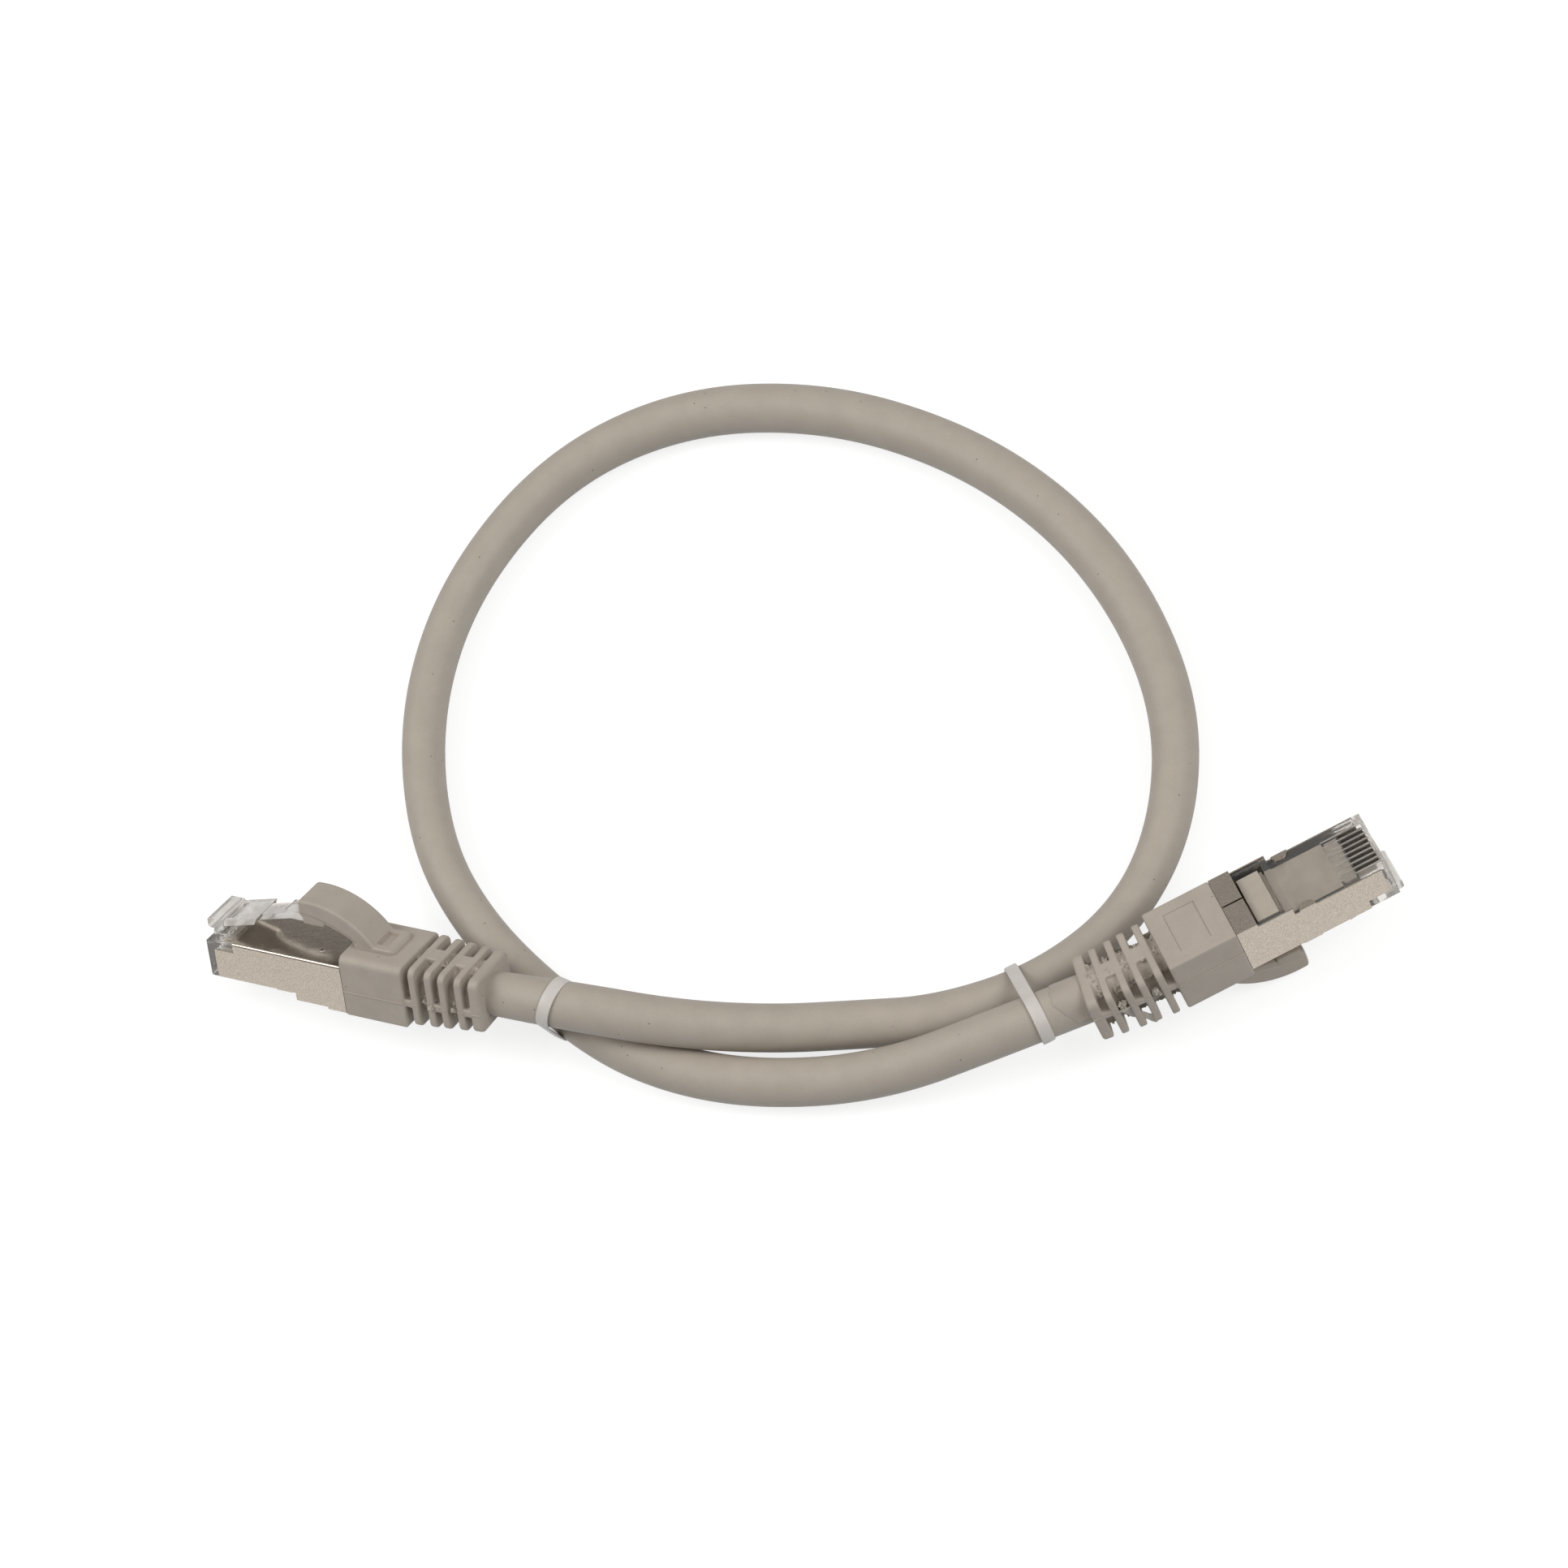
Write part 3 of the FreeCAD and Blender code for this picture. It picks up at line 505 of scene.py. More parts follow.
class Nodes:
    """Short calls for building one material's nodes."""

    def __init__(self, name):
        self.material = bpy.data.materials.new(name)
        self.material.use_nodes = True
        self.tree = self.material.node_tree
        self.tree.nodes.clear()
        self.output = self.add("ShaderNodeOutputMaterial")
        self.coordinates = self.add("ShaderNodeTexCoord").outputs["Object"]

    def add(self, kind):
        return self.tree.nodes.new(kind)

    def link(self, source, target):
        self.tree.links.new(source, target)

    def math(self, operation, first, second):
        node = self.add("ShaderNodeMath")
        node.operation = operation
        self.link(first, node.inputs[0])
        self.link(second, node.inputs[1])
        return node.outputs["Value"]

    def diffuse(self, colour):
        node = self.add("ShaderNodeBsdfDiffuse")
        node.inputs["Color"].default_value = (*colour, 1)
        return node.outputs["BSDF"]

    def noise(self, scale, detail=3.0, roughness=0.55, stretch=None):
        node = self.add("ShaderNodeTexNoise")
        node.inputs["Scale"].default_value = scale
        node.inputs["Detail"].default_value = detail
        node.inputs["Roughness"].default_value = roughness
        source = self.coordinates
        if stretch:
            mapping = self.add("ShaderNodeMapping")
            mapping.inputs["Scale"].default_value = stretch["scale"]
            mapping.inputs["Rotation"].default_value = stretch["rotation"]
            self.link(source, mapping.inputs["Vector"])
            source = mapping.outputs["Vector"]
        self.link(source, node.inputs["Vector"])
        return node.outputs["Fac"]

    def specks(self, scale, size):
        """1 on small round specks, 0 elsewhere."""
        node = self.add("ShaderNodeTexVoronoi")
        node.inputs["Scale"].default_value = scale
        self.link(self.coordinates, node.inputs["Vector"])
        return self.ramp(node.outputs["Distance"], [(0.0, 1.0), (size * 0.6, 1.0), (size, 0.0)])

    def ramp(self, value, stops):
        node = self.add("ShaderNodeValToRGB")
        elements = node.color_ramp.elements
        while len(elements) < len(stops):
            elements.new(0.5)
        for element, (place, level) in zip(elements, stops):
            element.position = place
            element.color = (level, level, level, 1)
        self.link(value, node.inputs["Fac"])
        return node.outputs["Color"]

    def mix(self, share, first, second):
        """Mixes two colours. Each may be a colour or an output."""
        node = self.add("ShaderNodeMix")
        node.data_type = "RGBA"
        colours = [socket for socket in node.inputs if socket.type == "RGBA"]
        for socket, value in zip(colours, (first, second)):
            if isinstance(value, tuple):
                socket.default_value = (*value, 1)
            else:
                self.link(value, socket)
        self.link(share, node.inputs["Factor"])
        return [socket for socket in node.outputs if socket.type == "RGBA"][0]

    def scaled(self, value, low, high):
        """Stretches a 0 to 1 output to low to high."""
        node = self.add("ShaderNodeMapRange")
        node.inputs["To Min"].default_value = low
        node.inputs["To Max"].default_value = high
        self.link(value, node.inputs["Value"])
        return node.outputs["Result"]

    def bump(self, height, strength, depth_mm, before=None):
        node = self.add("ShaderNodeBump")
        node.inputs["Strength"].default_value = strength
        node.inputs["Distance"].default_value = depth_mm * MM
        self.link(height, node.inputs["Height"])
        if before:
            self.link(before, node.inputs["Normal"])
        return node.outputs["Normal"]

    def principled(self, colour, roughness, normal=None, **sockets):
        node = self.add("ShaderNodeBsdfPrincipled")
        for name, value in (("Base Color", colour), ("Roughness", roughness)):
            if isinstance(value, tuple):
                node.inputs[name].default_value = (*value, 1)
            elif isinstance(value, float):
                node.inputs[name].default_value = value
            else:
                self.link(value, node.inputs[name])
        for name, value in sockets.items():
            node.inputs[name.replace("_", " ")].default_value = value
        if normal:
            self.link(normal, node.inputs["Normal"])
        self.link(node.outputs["BSDF"], self.output.inputs["Surface"])
        return self.material


# Where a noise turns from 0 to 1
wide_ramp = [(0.3, 0.0), (0.7, 1.0)]


def moulded_grey(name, light, dark, specks=True, grain=0.25, roughness=(0.5, 0.62)):
    """Matt grey thermoplastic rubber: soft mottle, fine grain and a few dark specks."""
    nodes = Nodes(name)
    mottle = nodes.ramp(nodes.noise(260, 4), [(0.35, 0.0), (0.65, 1.0)])
    fine = nodes.noise(5200, 2)
    colour = nodes.mix(mottle, dark, light)
    grainy = nodes.ramp(fine, wide_ramp)
    shadowed = nodes.mix(nodes.scaled(grainy, 0.0, 0.16), colour, tuple(0.6 * c for c in dark))
    if specks:
        shadowed = nodes.mix(nodes.specks(400, 0.055), shadowed, (0.10, 0.085, 0.07))
    gloss = nodes.scaled(nodes.noise(700, 3), *roughness)
    normal = nodes.bump(fine, grain, 0.03)
    normal = nodes.bump(nodes.noise(420, 2), 0.18, 0.12, normal)
    return nodes.principled(shadowed, gloss, normal, Specular_IOR_Level=0.42)


def clear_plastic(name, clearness, dark, light):
    """Clear polycarbonate, a little milky, with faint flow marks."""
    nodes = Nodes(name)
    flow = nodes.noise(330, 3)
    colour = nodes.mix(nodes.ramp(flow, wide_ramp), dark, light)
    normal = nodes.bump(flow, 0.15, 0.08)
    return nodes.principled(colour, nodes.scaled(nodes.noise(900, 2), 0.05, 0.14), normal,
                            IOR=1.2, Transmission_Weight=clearness, Coat_Weight=0.7, Coat_Roughness=0.06)


def nickel(name):
    """Nickel-plated sheet with a fine grain and light scratches."""
    nodes = Nodes(name)
    grain = nodes.noise(6000, 2, 0.6)
    scratches = nodes.noise(1500, 4, 0.7, {"scale": (0.16, 2.6, 1.0), "rotation": (0.0, 0.0, 0.9)})
    patches = nodes.noise(330, 3)
    colour = nodes.mix(nodes.ramp(grain, wide_ramp), (0.33, 0.285, 0.235), (0.60, 0.54, 0.465))
    colour = nodes.mix(nodes.scaled(patches, 0.0, 0.3), colour, (0.46, 0.41, 0.35))
    worn = nodes.ramp(scratches, [(0.56, 0.0), (0.7, 0.5)])
    colour = nodes.mix(worn, colour, (0.62, 0.57, 0.50))
    gloss = nodes.scaled(scratches, 0.14, 0.28)
    normal = nodes.bump(grain, 0.3, 0.008)
    normal = nodes.bump(scratches, 0.1, 0.01, normal)
    return nodes.principled(colour, gloss, normal, Metallic=1.0)


def contact_metal(name):
    """Contact blades coloured near black, as painted shade of the slots they sit in, with a faint random
    mottle of wear.
    """
    nodes = Nodes(name)
    wear = nodes.noise(1300, 3)
    worn = nodes.ramp(wear, [(0.35, 0.0), (0.7, 1.0)])
    # Near-black tones: painted shade of the deep slots, mottled at random by wear
    colour = nodes.mix(worn, (0.045, 0.03, 0.018), (0.10, 0.07, 0.04))
    normal = nodes.bump(wear, 0.15, 0.02)
    return nodes.principled(colour, nodes.scaled(wear, 0.3, 0.45), normal, Metallic=0.3)


def plain_plastic(name, light, dark):
    """Smooth moulded plastic with a faint mottle."""
    nodes = Nodes(name)
    mottle = nodes.noise(420, 3)
    colour = nodes.mix(nodes.ramp(mottle, wide_ramp), dark, light)
    normal = nodes.bump(nodes.noise(2600, 2), 0.12, 0.02)
    return nodes.principled(colour, nodes.scaled(mottle, 0.38, 0.5), normal)


def wire_braid(name):
    """Tinned wires crossing in a basket weave."""
    nodes = Nodes(name)
    waves = []
    for turn in (0.7, -0.7):
        node = nodes.add("ShaderNodeTexWave")
        node.inputs["Scale"].default_value = 900
        mapping = nodes.add("ShaderNodeMapping")
        mapping.inputs["Rotation"].default_value = (turn, turn, turn)
        nodes.link(nodes.coordinates, mapping.inputs["Vector"])
        nodes.link(mapping.outputs["Vector"], node.inputs["Vector"])
        waves.append(node.outputs["Fac"])
    weave = nodes.mix(waves[0], (0.3, 0.3, 0.3), waves[1])
    colour = nodes.mix(weave, (0.25, 0.25, 0.24), (0.72, 0.71, 0.69))
    normal = nodes.bump(weave, 0.5, 0.06)
    return nodes.principled(colour, nodes.scaled(waves[0], 0.3, 0.5), normal, Metallic=1.0)


boot_grey = moulded_grey("boot_grey", (0.415, 0.365, 0.312), (0.385, 0.338, 0.288))
cable_grey = moulded_grey("cable_grey", (0.415, 0.368, 0.312), (0.39, 0.345, 0.292), grain=0.18)
flash_grey = moulded_grey("flash_grey", (0.53, 0.485, 0.42), (0.44, 0.395, 0.34), specks=False,
                          roughness=(0.35, 0.5))
band_rubber = moulded_grey("band_rubber", (0.62, 0.585, 0.55), (0.57, 0.535, 0.50), specks=False,
                           grain=0.12, roughness=(0.45, 0.55))
clear_body = clear_plastic("clear_body", 0.93, (0.86, 0.83, 0.79), (0.95, 0.93, 0.90))
clear_latch = clear_plastic("clear_latch", 0.66, (0.74, 0.71, 0.67), (0.88, 0.86, 0.83))
shell_metal = nickel("shell_metal")
ferrule_metal = nickel("ferrule_metal")
blades = contact_metal("contact_metal")
insert_grey = plain_plastic("load_bar", (0.47, 0.42, 0.355), (0.43, 0.38, 0.32))
bar_grey = plain_plastic("relief_bar", (0.42, 0.375, 0.315), (0.39, 0.345, 0.29))
wire_skin = plain_plastic("wire_insulation", (0.60, 0.54, 0.46), (0.52, 0.46, 0.39))
core_skin = plain_plastic("core", (0.62, 0.61, 0.59), (0.55, 0.54, 0.52))
braid = wire_braid("braid")


# Cable

def cable_line(name):
    """The cable's centreline: one NURBS spline with the route's points as its control points."""
    curve = bpy.data.curves.new(name, "CURVE")
    curve.dimensions = "3D"
    curve.resolution_u = 16
    spline = curve.splines.new("NURBS")
    spline.points.add(len(route_mm) - 1)
    for point, (x, y, z, thickness) in zip(spline.points, route_mm):
        point.co = (x * MM, y * MM, z * MM, 1)
        point.radius = thickness
    spline.order_u = 3
    spline.use_endpoint_u = True
    piece = bpy.data.objects.new(name, curve)
    bpy.context.scene.collection.objects.link(piece)
    return piece


def line_points(piece):
    """Points along an unbevelled curve."""
    bpy.context.view_layer.update()
    ready = piece.evaluated_get(bpy.context.evaluated_depsgraph_get())
    mesh = bpy.data.meshes.new_from_object(ready)
    points = [vertex.co.copy() for vertex in mesh.vertices]
    bpy.data.meshes.remove(mesh)
    return points


cable = cable_line("cable")
strand = line_points(cable)
cable.data.bevel_depth = cable_radius * MM
cable.data.bevel_resolution = 14
cable.data.use_fill_caps = True
finish_piece(cable, cable_grey)
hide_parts("cable_jacket")


def along(points, distance):
    """The place and the way at a distance along points, all in metres."""
    left = distance
    for first, second in zip(points, points[1:]):
        step = (second - first).length
        if left <= step and step > 0:
            return first.lerp(second, left / step), (second - first).normalized()
        left -= step
    return points[-1].copy(), (points[-1] - points[-2]).normalized()


def strand_crossings(centre, normal, reach=0.012):
    """Where, and which way, the cable passes through a plane close to a point."""
    found = []
    for first, second in zip(strand, strand[1:]):
        before = (first - centre).dot(normal)
        after = (second - centre).dot(normal)
        if before * after > 0 or before == after or (first - centre).length > reach:
            continue
        crossing = first.lerp(second, before / (before - after))
        way = (second - first).normalized()
        if way.dot(normal) < 0:
            way = -way
        if all((crossing - other).length > cable_radius * MM for other, _ in found):
            found.append((crossing, way))
    return found[:2]


def band(side):
    """A flat elastic band drawn tight round both strands, with soft edges."""
    run = strand if side == "left" else list(reversed(strand))
    centre, way = along(run, band_distance[side] * MM)
    (first, first_way), (second, second_way) = strand_crossings(centre, way)
    normal = (first_way + second_way).normalized()
    lean = Matrix.Rotation(math.radians(band_lean), 3, normal.cross(second - first))
    normal = lean @ normal
    (first, first_way), (second, second_way) = strand_crossings(centre, normal)
    across = (second - first).normalized()
    outward = normal.cross(across).normalized()
    loop = []
    for middle, start in ((second, -90), (first, 90)):
        for step in range(band_steps + 1):
            angle = math.radians(start + 180 * step / band_steps)
            out = across * math.cos(angle) + outward * math.sin(angle)
            loop.append((middle, out))
    radius = (cable_radius + band_clearance) * MM
    half = band_width / 2 * MM
    thickness = band_thickness * MM
    bm = bmesh.new()
    rings = []
    for index, (middle, out) in enumerate(loop):
        sway = band_sway * math.sin(2 * math.pi * index / len(loop) * 2)
        ring = [middle + out * (radius + thickness * rise) + normal * half * (across_share + sway)
                for across_share, rise in band_profile]
        rings.append([bm.verts.new(point) for point in ring])
    for first_ring, second_ring in zip(rings, rings[1:] + rings[:1]):
        join_rings(bm, first_ring, second_ring)
    piece = new_object(f"{side}_elastic_band", bm)
    finish_piece(piece, band_rubber, angle=50)
    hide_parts(f"{side}_band")


# Boot

def rib_spans():
    """Start and end of each rib and of the collar, and the gaps before them."""
    spans = []
    gaps = []
    place = 0.0
    for index in range(rib_count + 1):
        gap = side_gap if index % 2 == 0 else bridge_gap
        gaps.append((place, place + gap))
        place += gap
        thickness = rib_thickness if index < rib_count else collar_length
        spans.append((place, place + thickness))
        place += thickness
    return spans, gaps


def rib_section(distance):
    """Width, top and bottom of a rib at a distance behind the block, about the cable's axis."""
    share = distance / relief_length
    ends = (rib_width, rib_top, rib_bottom)
    width, top, bottom = (first + (last - first) * share for first, last in ends)
    return width, top - cable_height, bottom - cable_height


def boot_block(bm):
    add_bar(bm, Matrix.Identity(4), boot_start, boot_end,
            lambda inset: rounded_rectangle(boot_width, boot_bottom, boot_top, boot_bottom_radius,
                                            boot_top_radius, inset), boot_edge)


def recess_cutter(start, length, width, levels):
    """A shape that sinks a rectangle into a face. levels gives its heights, each with its spread."""
    cutter = bmesh.new()
    middle = start + length / 2
    rings = []
    for height, spread in levels:
        half_x = length / 2 + spread
        half_y = width / 2 + spread
        rings.append([Vector((middle + x * half_x, y * half_y, height))
                      for x, y in ((-1, -1), (1, -1), (1, 1), (-1, 1))])
    add_loft(cutter, rings)
    return cutter


def panel_cutter():
    """The square panel that is sunk into the boot's contact side."""
    levels = (
        (boot_bottom - cutter_reach, panel_spread),
        (boot_bottom, panel_spread),
        (boot_bottom + panel_depth, panel_floor_spread),
    )
    return recess_cutter(panel_start, panel_length, panel_width, levels)


def add_ribs(bm, side, spans):
    """The ribs and the collar, which is the last of them."""
    for index, (first, last) in enumerate(spans):
        middle = (first + last) / 2
        half = (last - first) / 2
        width, top, bottom = rib_section(middle)
        is_collar = index == len(spans) - 1
        add_bar(bm, on_bend(side, middle), -half, half,
                lambda inset: rounded_rectangle(width, bottom, top, rib_radius, rib_radius, inset),
                rib_edge, collar_chamfer if is_collar else None)


def add_links(bm, side, gaps):
    """What joins the ribs: by turns a link at both sides and a bridge at top and bottom."""
    link_z = parting_height - cable_height
    for index, (first, last) in enumerate(gaps):
        middle = (first + last) / 2
        half = (last - first) / 2 + rib_thickness / 3
        width, top, bottom = rib_section(middle)
        if index % 2 == 0:
            sizes = (width - 2 * link_inset, link_z - link_height / 2, link_z + link_height / 2)
        else:
            sizes = (bridge_width, bottom + link_inset, top - link_inset)
        add_bar(bm, on_bend(side, middle), -half, half,
                lambda inset: rounded_rectangle(*sizes, link_corner, link_corner, inset), link_edge)


def add_core(bm, side, gaps, steps=12):
    """The round core inside the ribs, with the uneven lumps that show between them."""
    run = [Vector((boot_end - core_overlap, 0, cable_height))]
    for step in range(steps + 1):
        run.append(on_bend(side, relief_length * core_reach * step / steps).translation)
    add_tube(bm, run, core_radius)
    for first, last in gaps:
        for angle in range(core_lump_step // 2, 360, core_lump_step):
            way = math.radians(angle + core_lump_twist * first)
            crumb(bm, side, (first + last) / 2, core_lump_radius * math.cos(way),
                  cable_height + core_lump_radius * math.sin(way), core_lump_size)


def add_ridge(bm, place, start, end, height):
    """A thin line of the parting ridge along x."""
    add_bar(bm, place, start, end,
            lambda inset: rounded_rectangle(2 * ridge_size, height - ridge_size, height + ridge_size,
                                            ridge_corner, ridge_corner, inset, 2), ridge_edge)


def parting_ridge(bm, side):
    """The thin line that the mould's halves leave along the block and the ribs."""
    spans = rib_spans()[0]
    for hand in (-1, 1):
        add_ridge(bm, Matrix.Translation((0, hand * boot_width / 2, 0)),
                  boot_start + ridge_front_gap, boot_end - ridge_back_gap, parting_height)
        for first, last in spans:
            middle = (first + last) / 2
            half = (last - first) / 2 - ridge_rib_gap
            width = rib_section(middle)[0]
            place = on_bend(side, middle) @ Matrix.Translation((0, hand * width / 2, 0))
            add_ridge(bm, place, -half, half, parting_height - cable_height)


def crumb(bm, side, distance, y, z, size):
    """A rough lump on the strain relief. size gives its half sizes."""
    middle = on_bend(side, distance) @ Vector((0, y, z - cable_height))
    for vertex in bmesh.ops.create_icosphere(bm, subdivisions=4, radius=1.0)["verts"]:
        coarse = noise.noise(vertex.co * 2.1 + middle)
        fine = noise.noise(vertex.co * 6 + middle)
        swell = 0.8 + 0.9 * coarse + 0.4 * fine
        vertex.co = middle + Vector([swell * part * half for part, half in zip(vertex.co, size)])


def torn_sheet(bm, steps=24):
    """A thin ragged sheet of flash that hangs between the right boot's ribs."""
    first = Vector((sheet_first[0], 0, sheet_first[1]))
    last = Vector((sheet_last[0], 0, sheet_last[1]))
    rings = []
    for step in range(steps + 1):
        share = step / steps
        half = sheet_half + 0.22 * noise.noise(Vector((share * 6, 0.3, 0.7)))
        ring = []
        for across, face in ((-1, -1), (1, -1), (1, 1), (-1, 1)):
            place = first.lerp(last, share) + Vector(sheet_way) * half * across
            wave = 0.12 * math.sin(share * 9 + across)
            y = sheet_side + wave + face * sheet_half_thickness
            ring.append(on_bend("right", place.x) @ Vector((0, y, place.z - cable_height)))
        rings.append(ring)
    add_loft(bm, rings)


def collar_skin(steps=14):
    """A thin skin of the boot's material that has crept over the cable behind the right collar."""
    bm = bmesh.new()
    run = list(reversed(strand))
    rings = []
    for step in range(steps + 1):
        angle = math.radians(skin_first_angle + skin_turn * step / steps)
        raggedness = 0.5 * noise.noise(Vector((step * 0.6, 0.4, 0.9)))
        reach = skin_reach + skin_growth * min(1, step / 6) + raggedness
        rise = skin_rise if step else skin_first_rise
        outline = ((0, -skin_foot), (0, rise), (reach - skin_foot, rise), (reach, skin_tip_rise),
                   (reach, -skin_foot))
        ring = []
        for distance, height in outline:
            place, way = along(run, distance * MM)
            side = way.cross(Vector((0, 0, 1))).normalized()
            out = side.cross(way) * math.cos(angle) + side * math.sin(angle)
            ring.append(place + out * (cable_radius + height) * MM)
        rings.append(ring)
    add_loft(bm, rings)
    finish_piece(new_object("right_collar_skin", bm), boot_grey, angle=40)


def flash(side):
    """What the mould has left at the parting line."""
    bm = bmesh.new()
    for distance, y, z, size in flash_crumbs[side]:
        crumb(bm, side, distance, y, z, size)
    if side == "right":
        torn_sheet(bm)
        collar_skin()
    bm.transform(plug_matrix(side))
    finish_piece(new_object(f"{side}_flash", bm), flash_grey, angle=60)


def boot(side):
    """The grey moulding: block, ribs, collar and core in one skin, with its panel and parting line."""
    spans, gaps = rib_spans()
    bm = bmesh.new()
    boot_block(bm)
    add_ribs(bm, side, spans)
    add_links(bm, side, gaps)
    add_core(bm, side, gaps)
    piece = new_object(f"{side}_boot_moulding", bm)
    fuse_soft(piece, boot_voxel, smooth_steps=3, keep=0.3)
    cut(piece, panel_cutter())
    ridges = bmesh.new()
    ridges.from_mesh(piece.data)
    parting_ridge(ridges, side)
    ridges.transform(plug_matrix(side))
    ridges.to_mesh(piece.data)
    ridges.free()
    # Clears the faces that the cut left without a width
    piece.data.validate()
    finish_piece(piece, boot_grey, angle=50)
    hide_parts(f"{side}_boot")
    flash(side)


# Latch guard

def arc(first, through, last, steps):
    """Points of the arc through three (x, z) places."""
    (x1, z1), (x2, z2), (x3, z3) = first, through, last
    spread = 2 * (x1 * (z2 - z3) + x2 * (z3 - z1) + x3 * (z1 - z2))
    square1, square2, square3 = (x * x + z * z for x, z in (first, through, last))
    centre_x = (square1 * (z2 - z3) + square2 * (z3 - z1) + square3 * (z1 - z2)) / spread
    centre_z = (square1 * (x3 - x2) + square2 * (x1 - x3) + square3 * (x2 - x1)) / spread
    radius = math.hypot(x1 - centre_x, z1 - centre_z)
    start, middle, end = (math.atan2(z - centre_z, x - centre_x) for x, z in (first, through, last))
    while middle < start:
        middle += 2 * math.pi
    while end < start:
        end += 2 * math.pi
    if middle > end:
        end -= 2 * math.pi
    angles = [start + (end - start) * step / steps for step in range(steps + 1)]
    return [(centre_x + radius * math.cos(angle), centre_z + radius * math.sin(angle)) for angle in angles]


def resample(line, count):
    """The same line in count even steps."""
    points = [Vector((x, 0, z)) for x, z in line]
    total = sum((b - a).length for a, b in zip(points, points[1:]))
    return [along(points, total * index / count)[0] for index in range(count + 1)]


def guard_ring(top, under, inset):
    """A ring across the guard, with the narrower lip along its lower edge."""
    up = (top - under).normalized()
    half = guard_width / 2 - inset
    lip_half = half - lip_step
    low = inset
    high = (top - under).length - inset
    points = [(-half + guard_corner, high), (-half + guard_chamfer, high - guard_chamfer),
              (-half, high - guard_corner)]
    points += [(-half, lip_height + lip_slope), (-lip_half, lip_height - lip_slope)]
    points += [(-lip_half, low + guard_corner), (-lip_half + guard_chamfer, low + guard_chamfer),
               (-lip_half + guard_corner, low)]
    ring = points + [(-y, z) for y, z in reversed(points)]
    return [under + Vector((0, y, 0)) + up * z for y, z in ring]


def add_arch(bm):
    """The arched cover, from its rounded tip to its root."""
    top_line = guard_tip_top + arc(*guard_top_arc, steps=18)[1:]
    under_line = guard_tip_under + arc(*guard_under_arc, steps=10)[1:] + guard_root_under
    top = resample(top_line, guard_steps)
    under = resample(under_line, guard_steps)
    rings = []
    for step in range(4):
        angle = math.radians(30 * step)
        inset = guard_tip_inset * (1 - math.sin(angle))
        shift = Vector((-guard_tip_depth * math.cos(angle), 0, 0))
        rings.append(guard_ring(top[0] + shift, under[0] + shift, inset))
    for high, low in list(zip(top, under))[1:]:
        rings.append(guard_ring(high, low, 0.0))
    add_loft(bm, rings)


def add_walls(bm):
    """The two walls under the guard's tip."""
    for hand in (-1, 1):
        add_bar(bm, Matrix.Translation((0, hand * wall_y, 0)), wall_start, wall_end,
                lambda inset: rounded_rectangle(wall_thickness, wall_bottom, wall_top, wall_corner,
                                                wall_corner, inset), wall_corner)


def add_pad(bm):
    """The raised pad on the boot that the guard grows from."""
    add_bar(bm, Matrix.Identity(4), pad_start, pad_end,
            lambda inset: rounded_rectangle(guard_width, boot_top - pad_foot, pad_top, pad_bottom_radius,
                                            pad_top_radius, inset), pad_front_edge, pad_back_edge)


def pad_recess():
    """The small rectangle that is sunk into the pad."""
    levels = (
        (pad_top + recess_reach, recess_spread),
        (pad_top + recess_lip, recess_spread),
        (pad_top - recess_depth, recess_floor_spread),
    )
    return recess_cutter(recess_start, recess_length, recess_width, levels)


def guard(side):
    """The latch guard and its pad in one skin."""
    bm = bmesh.new()
    add_arch(bm)
    add_walls(bm)
    add_pad(bm)
    piece = new_object(f"{side}_guard_moulding", bm)
    fuse_soft(piece, guard_voxel, smooth_steps=2, keep=0.35)
    cut(piece, pad_recess())
    place = plug_matrix(side)
    piece.data.transform(place)
    finish_piece(piece, boot_grey, body=None, angle=50)
    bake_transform(piece)
    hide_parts(f"{side}_latch_guard")


# Clear pieces, metal pieces and the pieces that stay as the CAD model has them

def dressed_copies(side):
    """Copies of the CAD nodes that only need rounded edges, each with the width of its edges in mm."""
    copies = [
        ("plug_housing", "clear_housing", 0.09, clear_body, "clear_body", "cable_and_plugs"),
        ("latch", "clear_latch", 0.14, clear_latch, "clear_latch", f"{side}_latch_body"),
        ("shield_shell", "folded_shell", 0.06, shell_metal, "shell_metal", "cable_and_plugs"),
        ("load_bar", "insert", 0.12, insert_grey, "load_bar", "cable_and_plugs"),
        ("strain_relief_bar", "window_bar", 0.1, bar_grey, "relief_bar", "cable_and_plugs"),
        ("contacts", "contact_blades", 0.05, blades, "contact_metal", "cable_and_plugs"),
    ]
    for node, name, width, material, slot, body in copies:
        piece = bevelled_copy(side, node, name, width)
        finish_piece(piece, material, body, angle=None)
        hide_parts(f"{side}_{node}")


def nose_ridges(side):
    """The moulded ridges between the contacts, with the edge that joins them at the nose, made in the
    milkier latch plastic so that they show as light lines: painted highlights on the rib tops and the
    nose's edge.
    """
    bm = bmesh.new()
    for row in range(contact_rows + 1):
        y = (row - contact_rows / 2) * contact_pitch
        add_bar(bm, Matrix.Translation((0, y, 0)), nose_edge_end, slot_ridge_end,
                lambda inset: rounded_rectangle(2 * slot_ridge_half, 0, slot_ridge_rise, ridge_corner,
                                                ridge_corner, inset, 2), ridge_edge)
    width = contact_rows * contact_pitch + 2 * slot_ridge_half
    add_bar(bm, Matrix.Identity(4), nose_edge_start, nose_edge_end + ridge_edge,
            lambda inset: rounded_rectangle(width, 0, nose_edge_rise, ridge_corner, ridge_corner, inset, 2),
            nose_edge_softness)
    bm.transform(plug_matrix(side))
    # The milkier latch plastic paints the highlights on the rib tops and the nose's edge
    finish_piece(new_object(f"{side}_nose_ridges", bm), clear_latch)


def dress_node(node, material):
    """Gives a CAD node, which stays as it is, its material."""
    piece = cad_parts[node]
    piece.data.materials.clear()
    piece.data.materials.append(material)


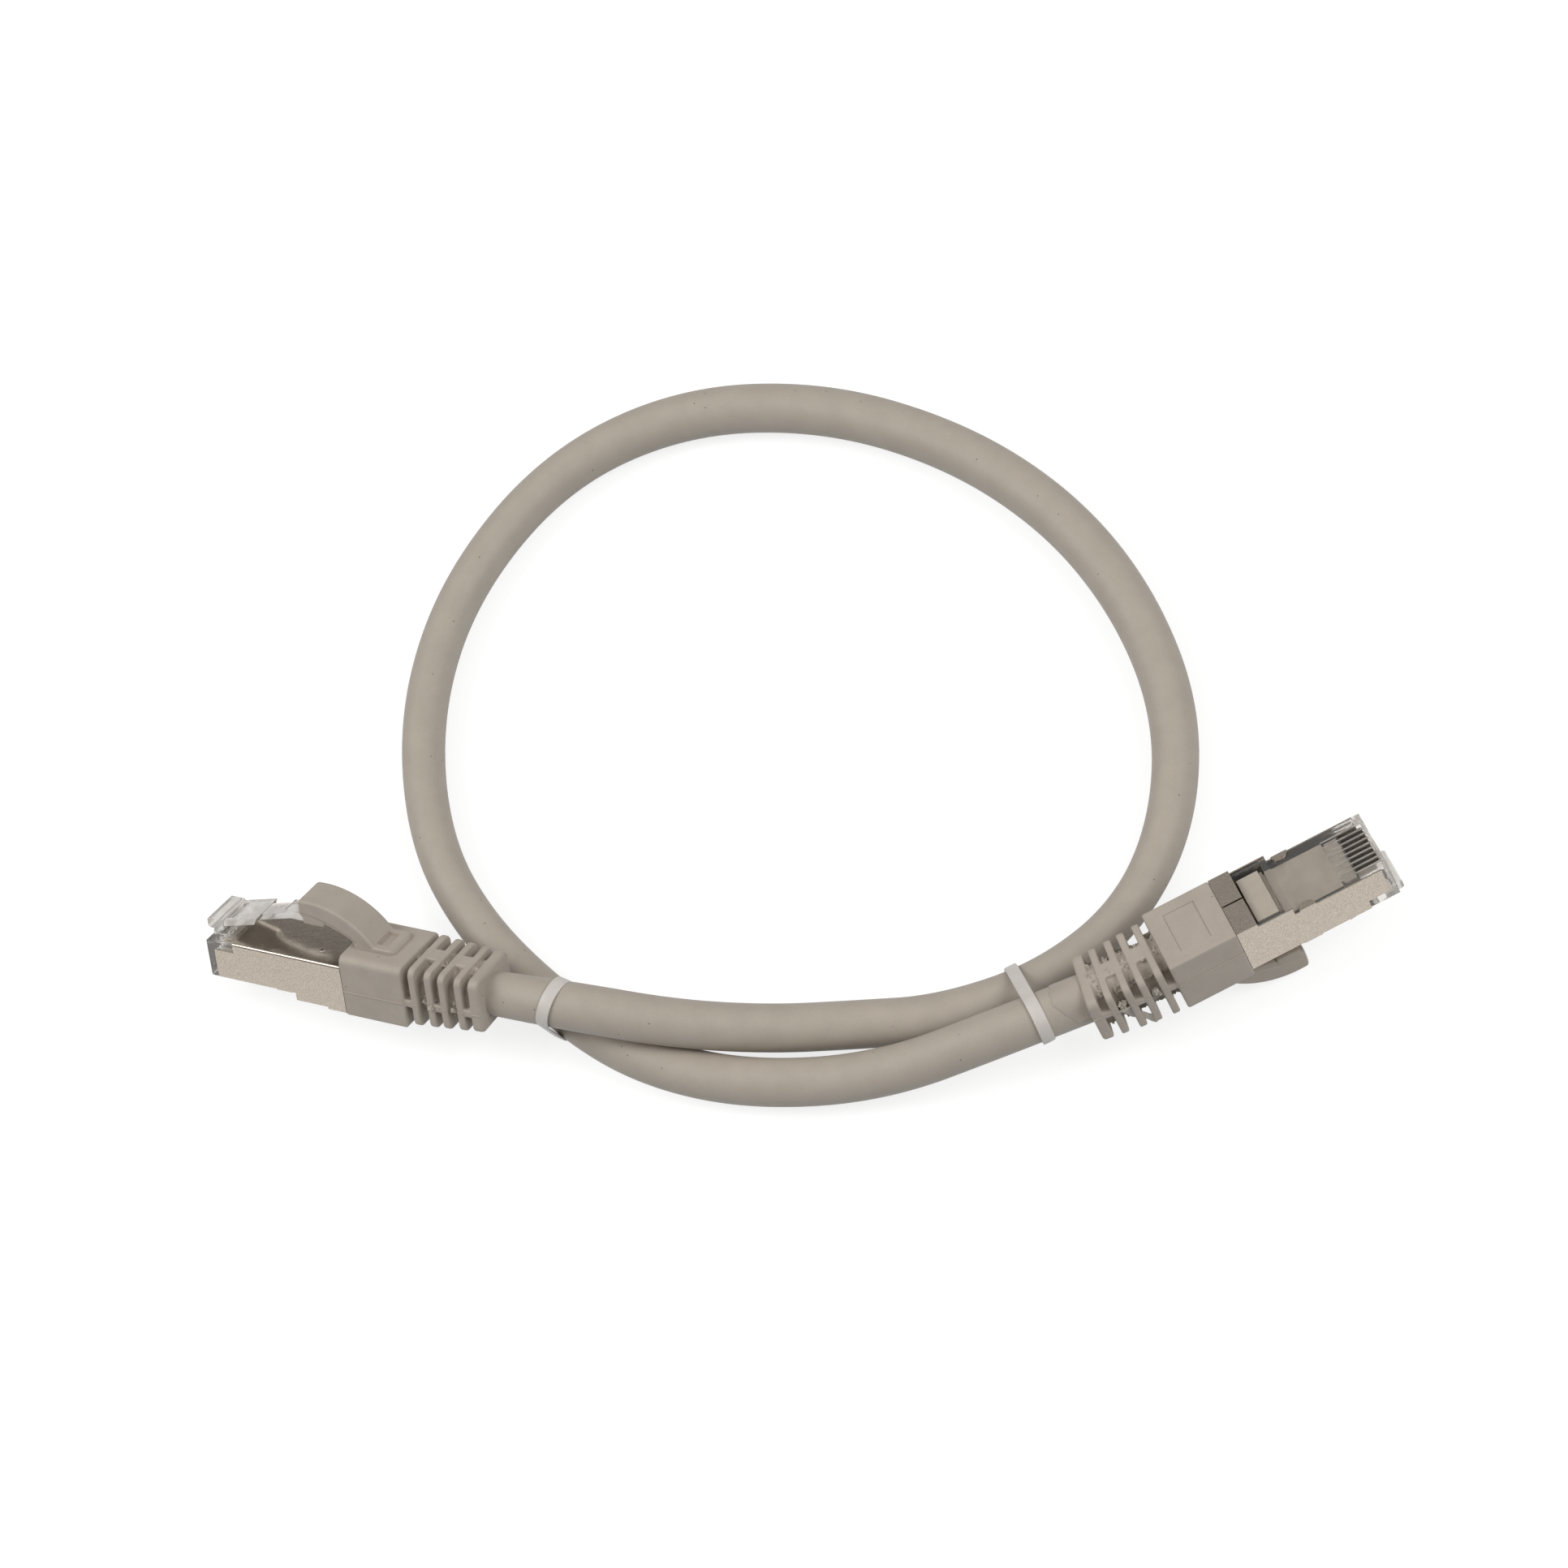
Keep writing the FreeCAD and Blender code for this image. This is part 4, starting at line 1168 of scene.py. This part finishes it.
for side in plugs:
    boot(side)
    guard(side)
    dressed_copies(side)
    nose_ridges(side)
    band(side)
    dress_node(f"{side}_conductors", wire_skin)
    dress_node(f"{side}_braid_sleeve", braid)
    dress_node(f"{side}_crimp_ferrule", ferrule_metal)
    dress_node(f"{side}_jacket_end", cable_grey)
dress_node("cable_core", core_skin)
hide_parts("cable_core")


# Floor, light and camera

def floor():
    """A plain floor that the camera sees white, with a painted pool of light that is brightest near the
    object and dims farther out, and that keeps its shadow.
    """
    bm = bmesh.new()
    bmesh.ops.create_grid(bm, x_segments=1, y_segments=1, size=floor_half)
    piece = new_object("floor", bm)
    nodes = Nodes("floor_white")
    rays = nodes.add("ShaderNodeLightPath").outputs
    direct = nodes.math("MAXIMUM", rays["Is Camera Ray"], rays["Is Transmission Ray"])
    seen = nodes.math("MAXIMUM", direct, rays["Is Glossy Ray"])
    plain = nodes.diffuse((0.54, 0.58, 0.62))
    shadow = nodes.diffuse((0.3, 0.3, 0.3))
    away = nodes.add("ShaderNodeVectorMath")
    away.operation = "LENGTH"
    nodes.link(nodes.coordinates, away.inputs[0])
    # Painted pool of light: the glow that the camera, glass and metal see falls from 0.78 near the object
    # to 0.25 farther out
    light_pool_falloff = nodes.add("ShaderNodeMapRange")
    for name, value in (("From Min", 0.25), ("From Max", 0.7), ("To Min", 0.78), ("To Max", 0.25)):
        light_pool_falloff.inputs[name].default_value = value
    nodes.link(away.outputs["Value"], light_pool_falloff.inputs["Value"])
    painted_light_pool = nodes.add("ShaderNodeEmission")
    nodes.link(light_pool_falloff.outputs["Result"], painted_light_pool.inputs["Strength"])
    white = nodes.add("ShaderNodeAddShader")
    nodes.link(shadow, white.inputs[0])
    nodes.link(painted_light_pool.outputs["Emission"], white.inputs[1])
    both = nodes.add("ShaderNodeMixShader")
    nodes.link(seen, both.inputs["Fac"])
    nodes.link(plain, both.inputs[1])
    nodes.link(white.outputs["Shader"], both.inputs[2])
    nodes.link(both.outputs["Shader"], nodes.output.inputs["Surface"])
    piece.data.materials.append(nodes.material)


def softbox(name, place):
    """A round soft lamp that is turned to the object."""
    lamp = bpy.data.lights.new(name, "AREA")
    lamp.shape = "DISK"
    lamp.size = softbox_size
    lamp.energy = softbox_power
    piece = bpy.data.objects.new(name, lamp)
    bpy.context.scene.collection.objects.link(piece)
    piece.location = place
    piece.rotation_euler = (Vector(lit_place) - Vector(place)).to_track_quat("-Z", "Y").to_euler()


def smooth_range(tree, limits):
    """A Map Range node with soft ends."""
    node = tree.nodes.new("ShaderNodeMapRange")
    node.interpolation_type = "SMOOTHSTEP"
    for name, value in limits:
        node.inputs[name].default_value = value
    return node


def studio():
    """A white tent that is open, and so darker, low down on the near and far sides."""
    world = bpy.data.worlds.new("studio")
    bpy.context.scene.world = world
    world.use_nodes = True
    tree = world.node_tree
    background = tree.nodes["Background"]
    background.inputs["Color"].default_value = (1.0, 0.985, 0.965, 1)
    coordinates = tree.nodes.new("ShaderNodeTexCoord")
    split = tree.nodes.new("ShaderNodeSeparateXYZ")
    tree.links.new(coordinates.outputs["Generated"], split.inputs["Vector"])
    rise = smooth_range(tree, (("From Min", -0.05), ("From Max", 0.85), ("To Max", 0.62)))
    near = smooth_range(tree, (("From Max", 0.9), ("To Min", 0.27), ("To Max", 0.07)))
    depth = tree.nodes.new("ShaderNodeMath")
    depth.operation = "ABSOLUTE"
    tree.links.new(split.outputs["Y"], depth.inputs[0])
    tree.links.new(depth.outputs["Value"], near.inputs["Value"])
    tree.links.new(near.outputs["Result"], rise.inputs["To Min"])
    tree.links.new(split.outputs["Z"], rise.inputs["Value"])
    tree.links.new(rise.outputs["Result"], background.inputs["Strength"])
    softbox("left_softbox", (-softbox_distance, 0.05, softbox_height))
    softbox("right_softbox", (softbox_distance, -0.1, softbox_height))


def camera():
    lens = bpy.data.cameras.new("camera")
    lens.lens = lens_mm
    lens.sensor_width = sensor_mm
    piece = bpy.data.objects.new("camera", lens)
    bpy.context.scene.collection.objects.link(piece)
    right = Vector(camera_right)
    back = Vector(camera_back)
    turn = Matrix((right, back.cross(right), back)).transposed()
    piece.matrix_world = Matrix.Translation(camera_place) @ turn.to_4x4()
    bpy.context.scene.camera = piece


floor()
studio()
camera()
bpy.context.scene.view_settings.view_transform = "Standard"
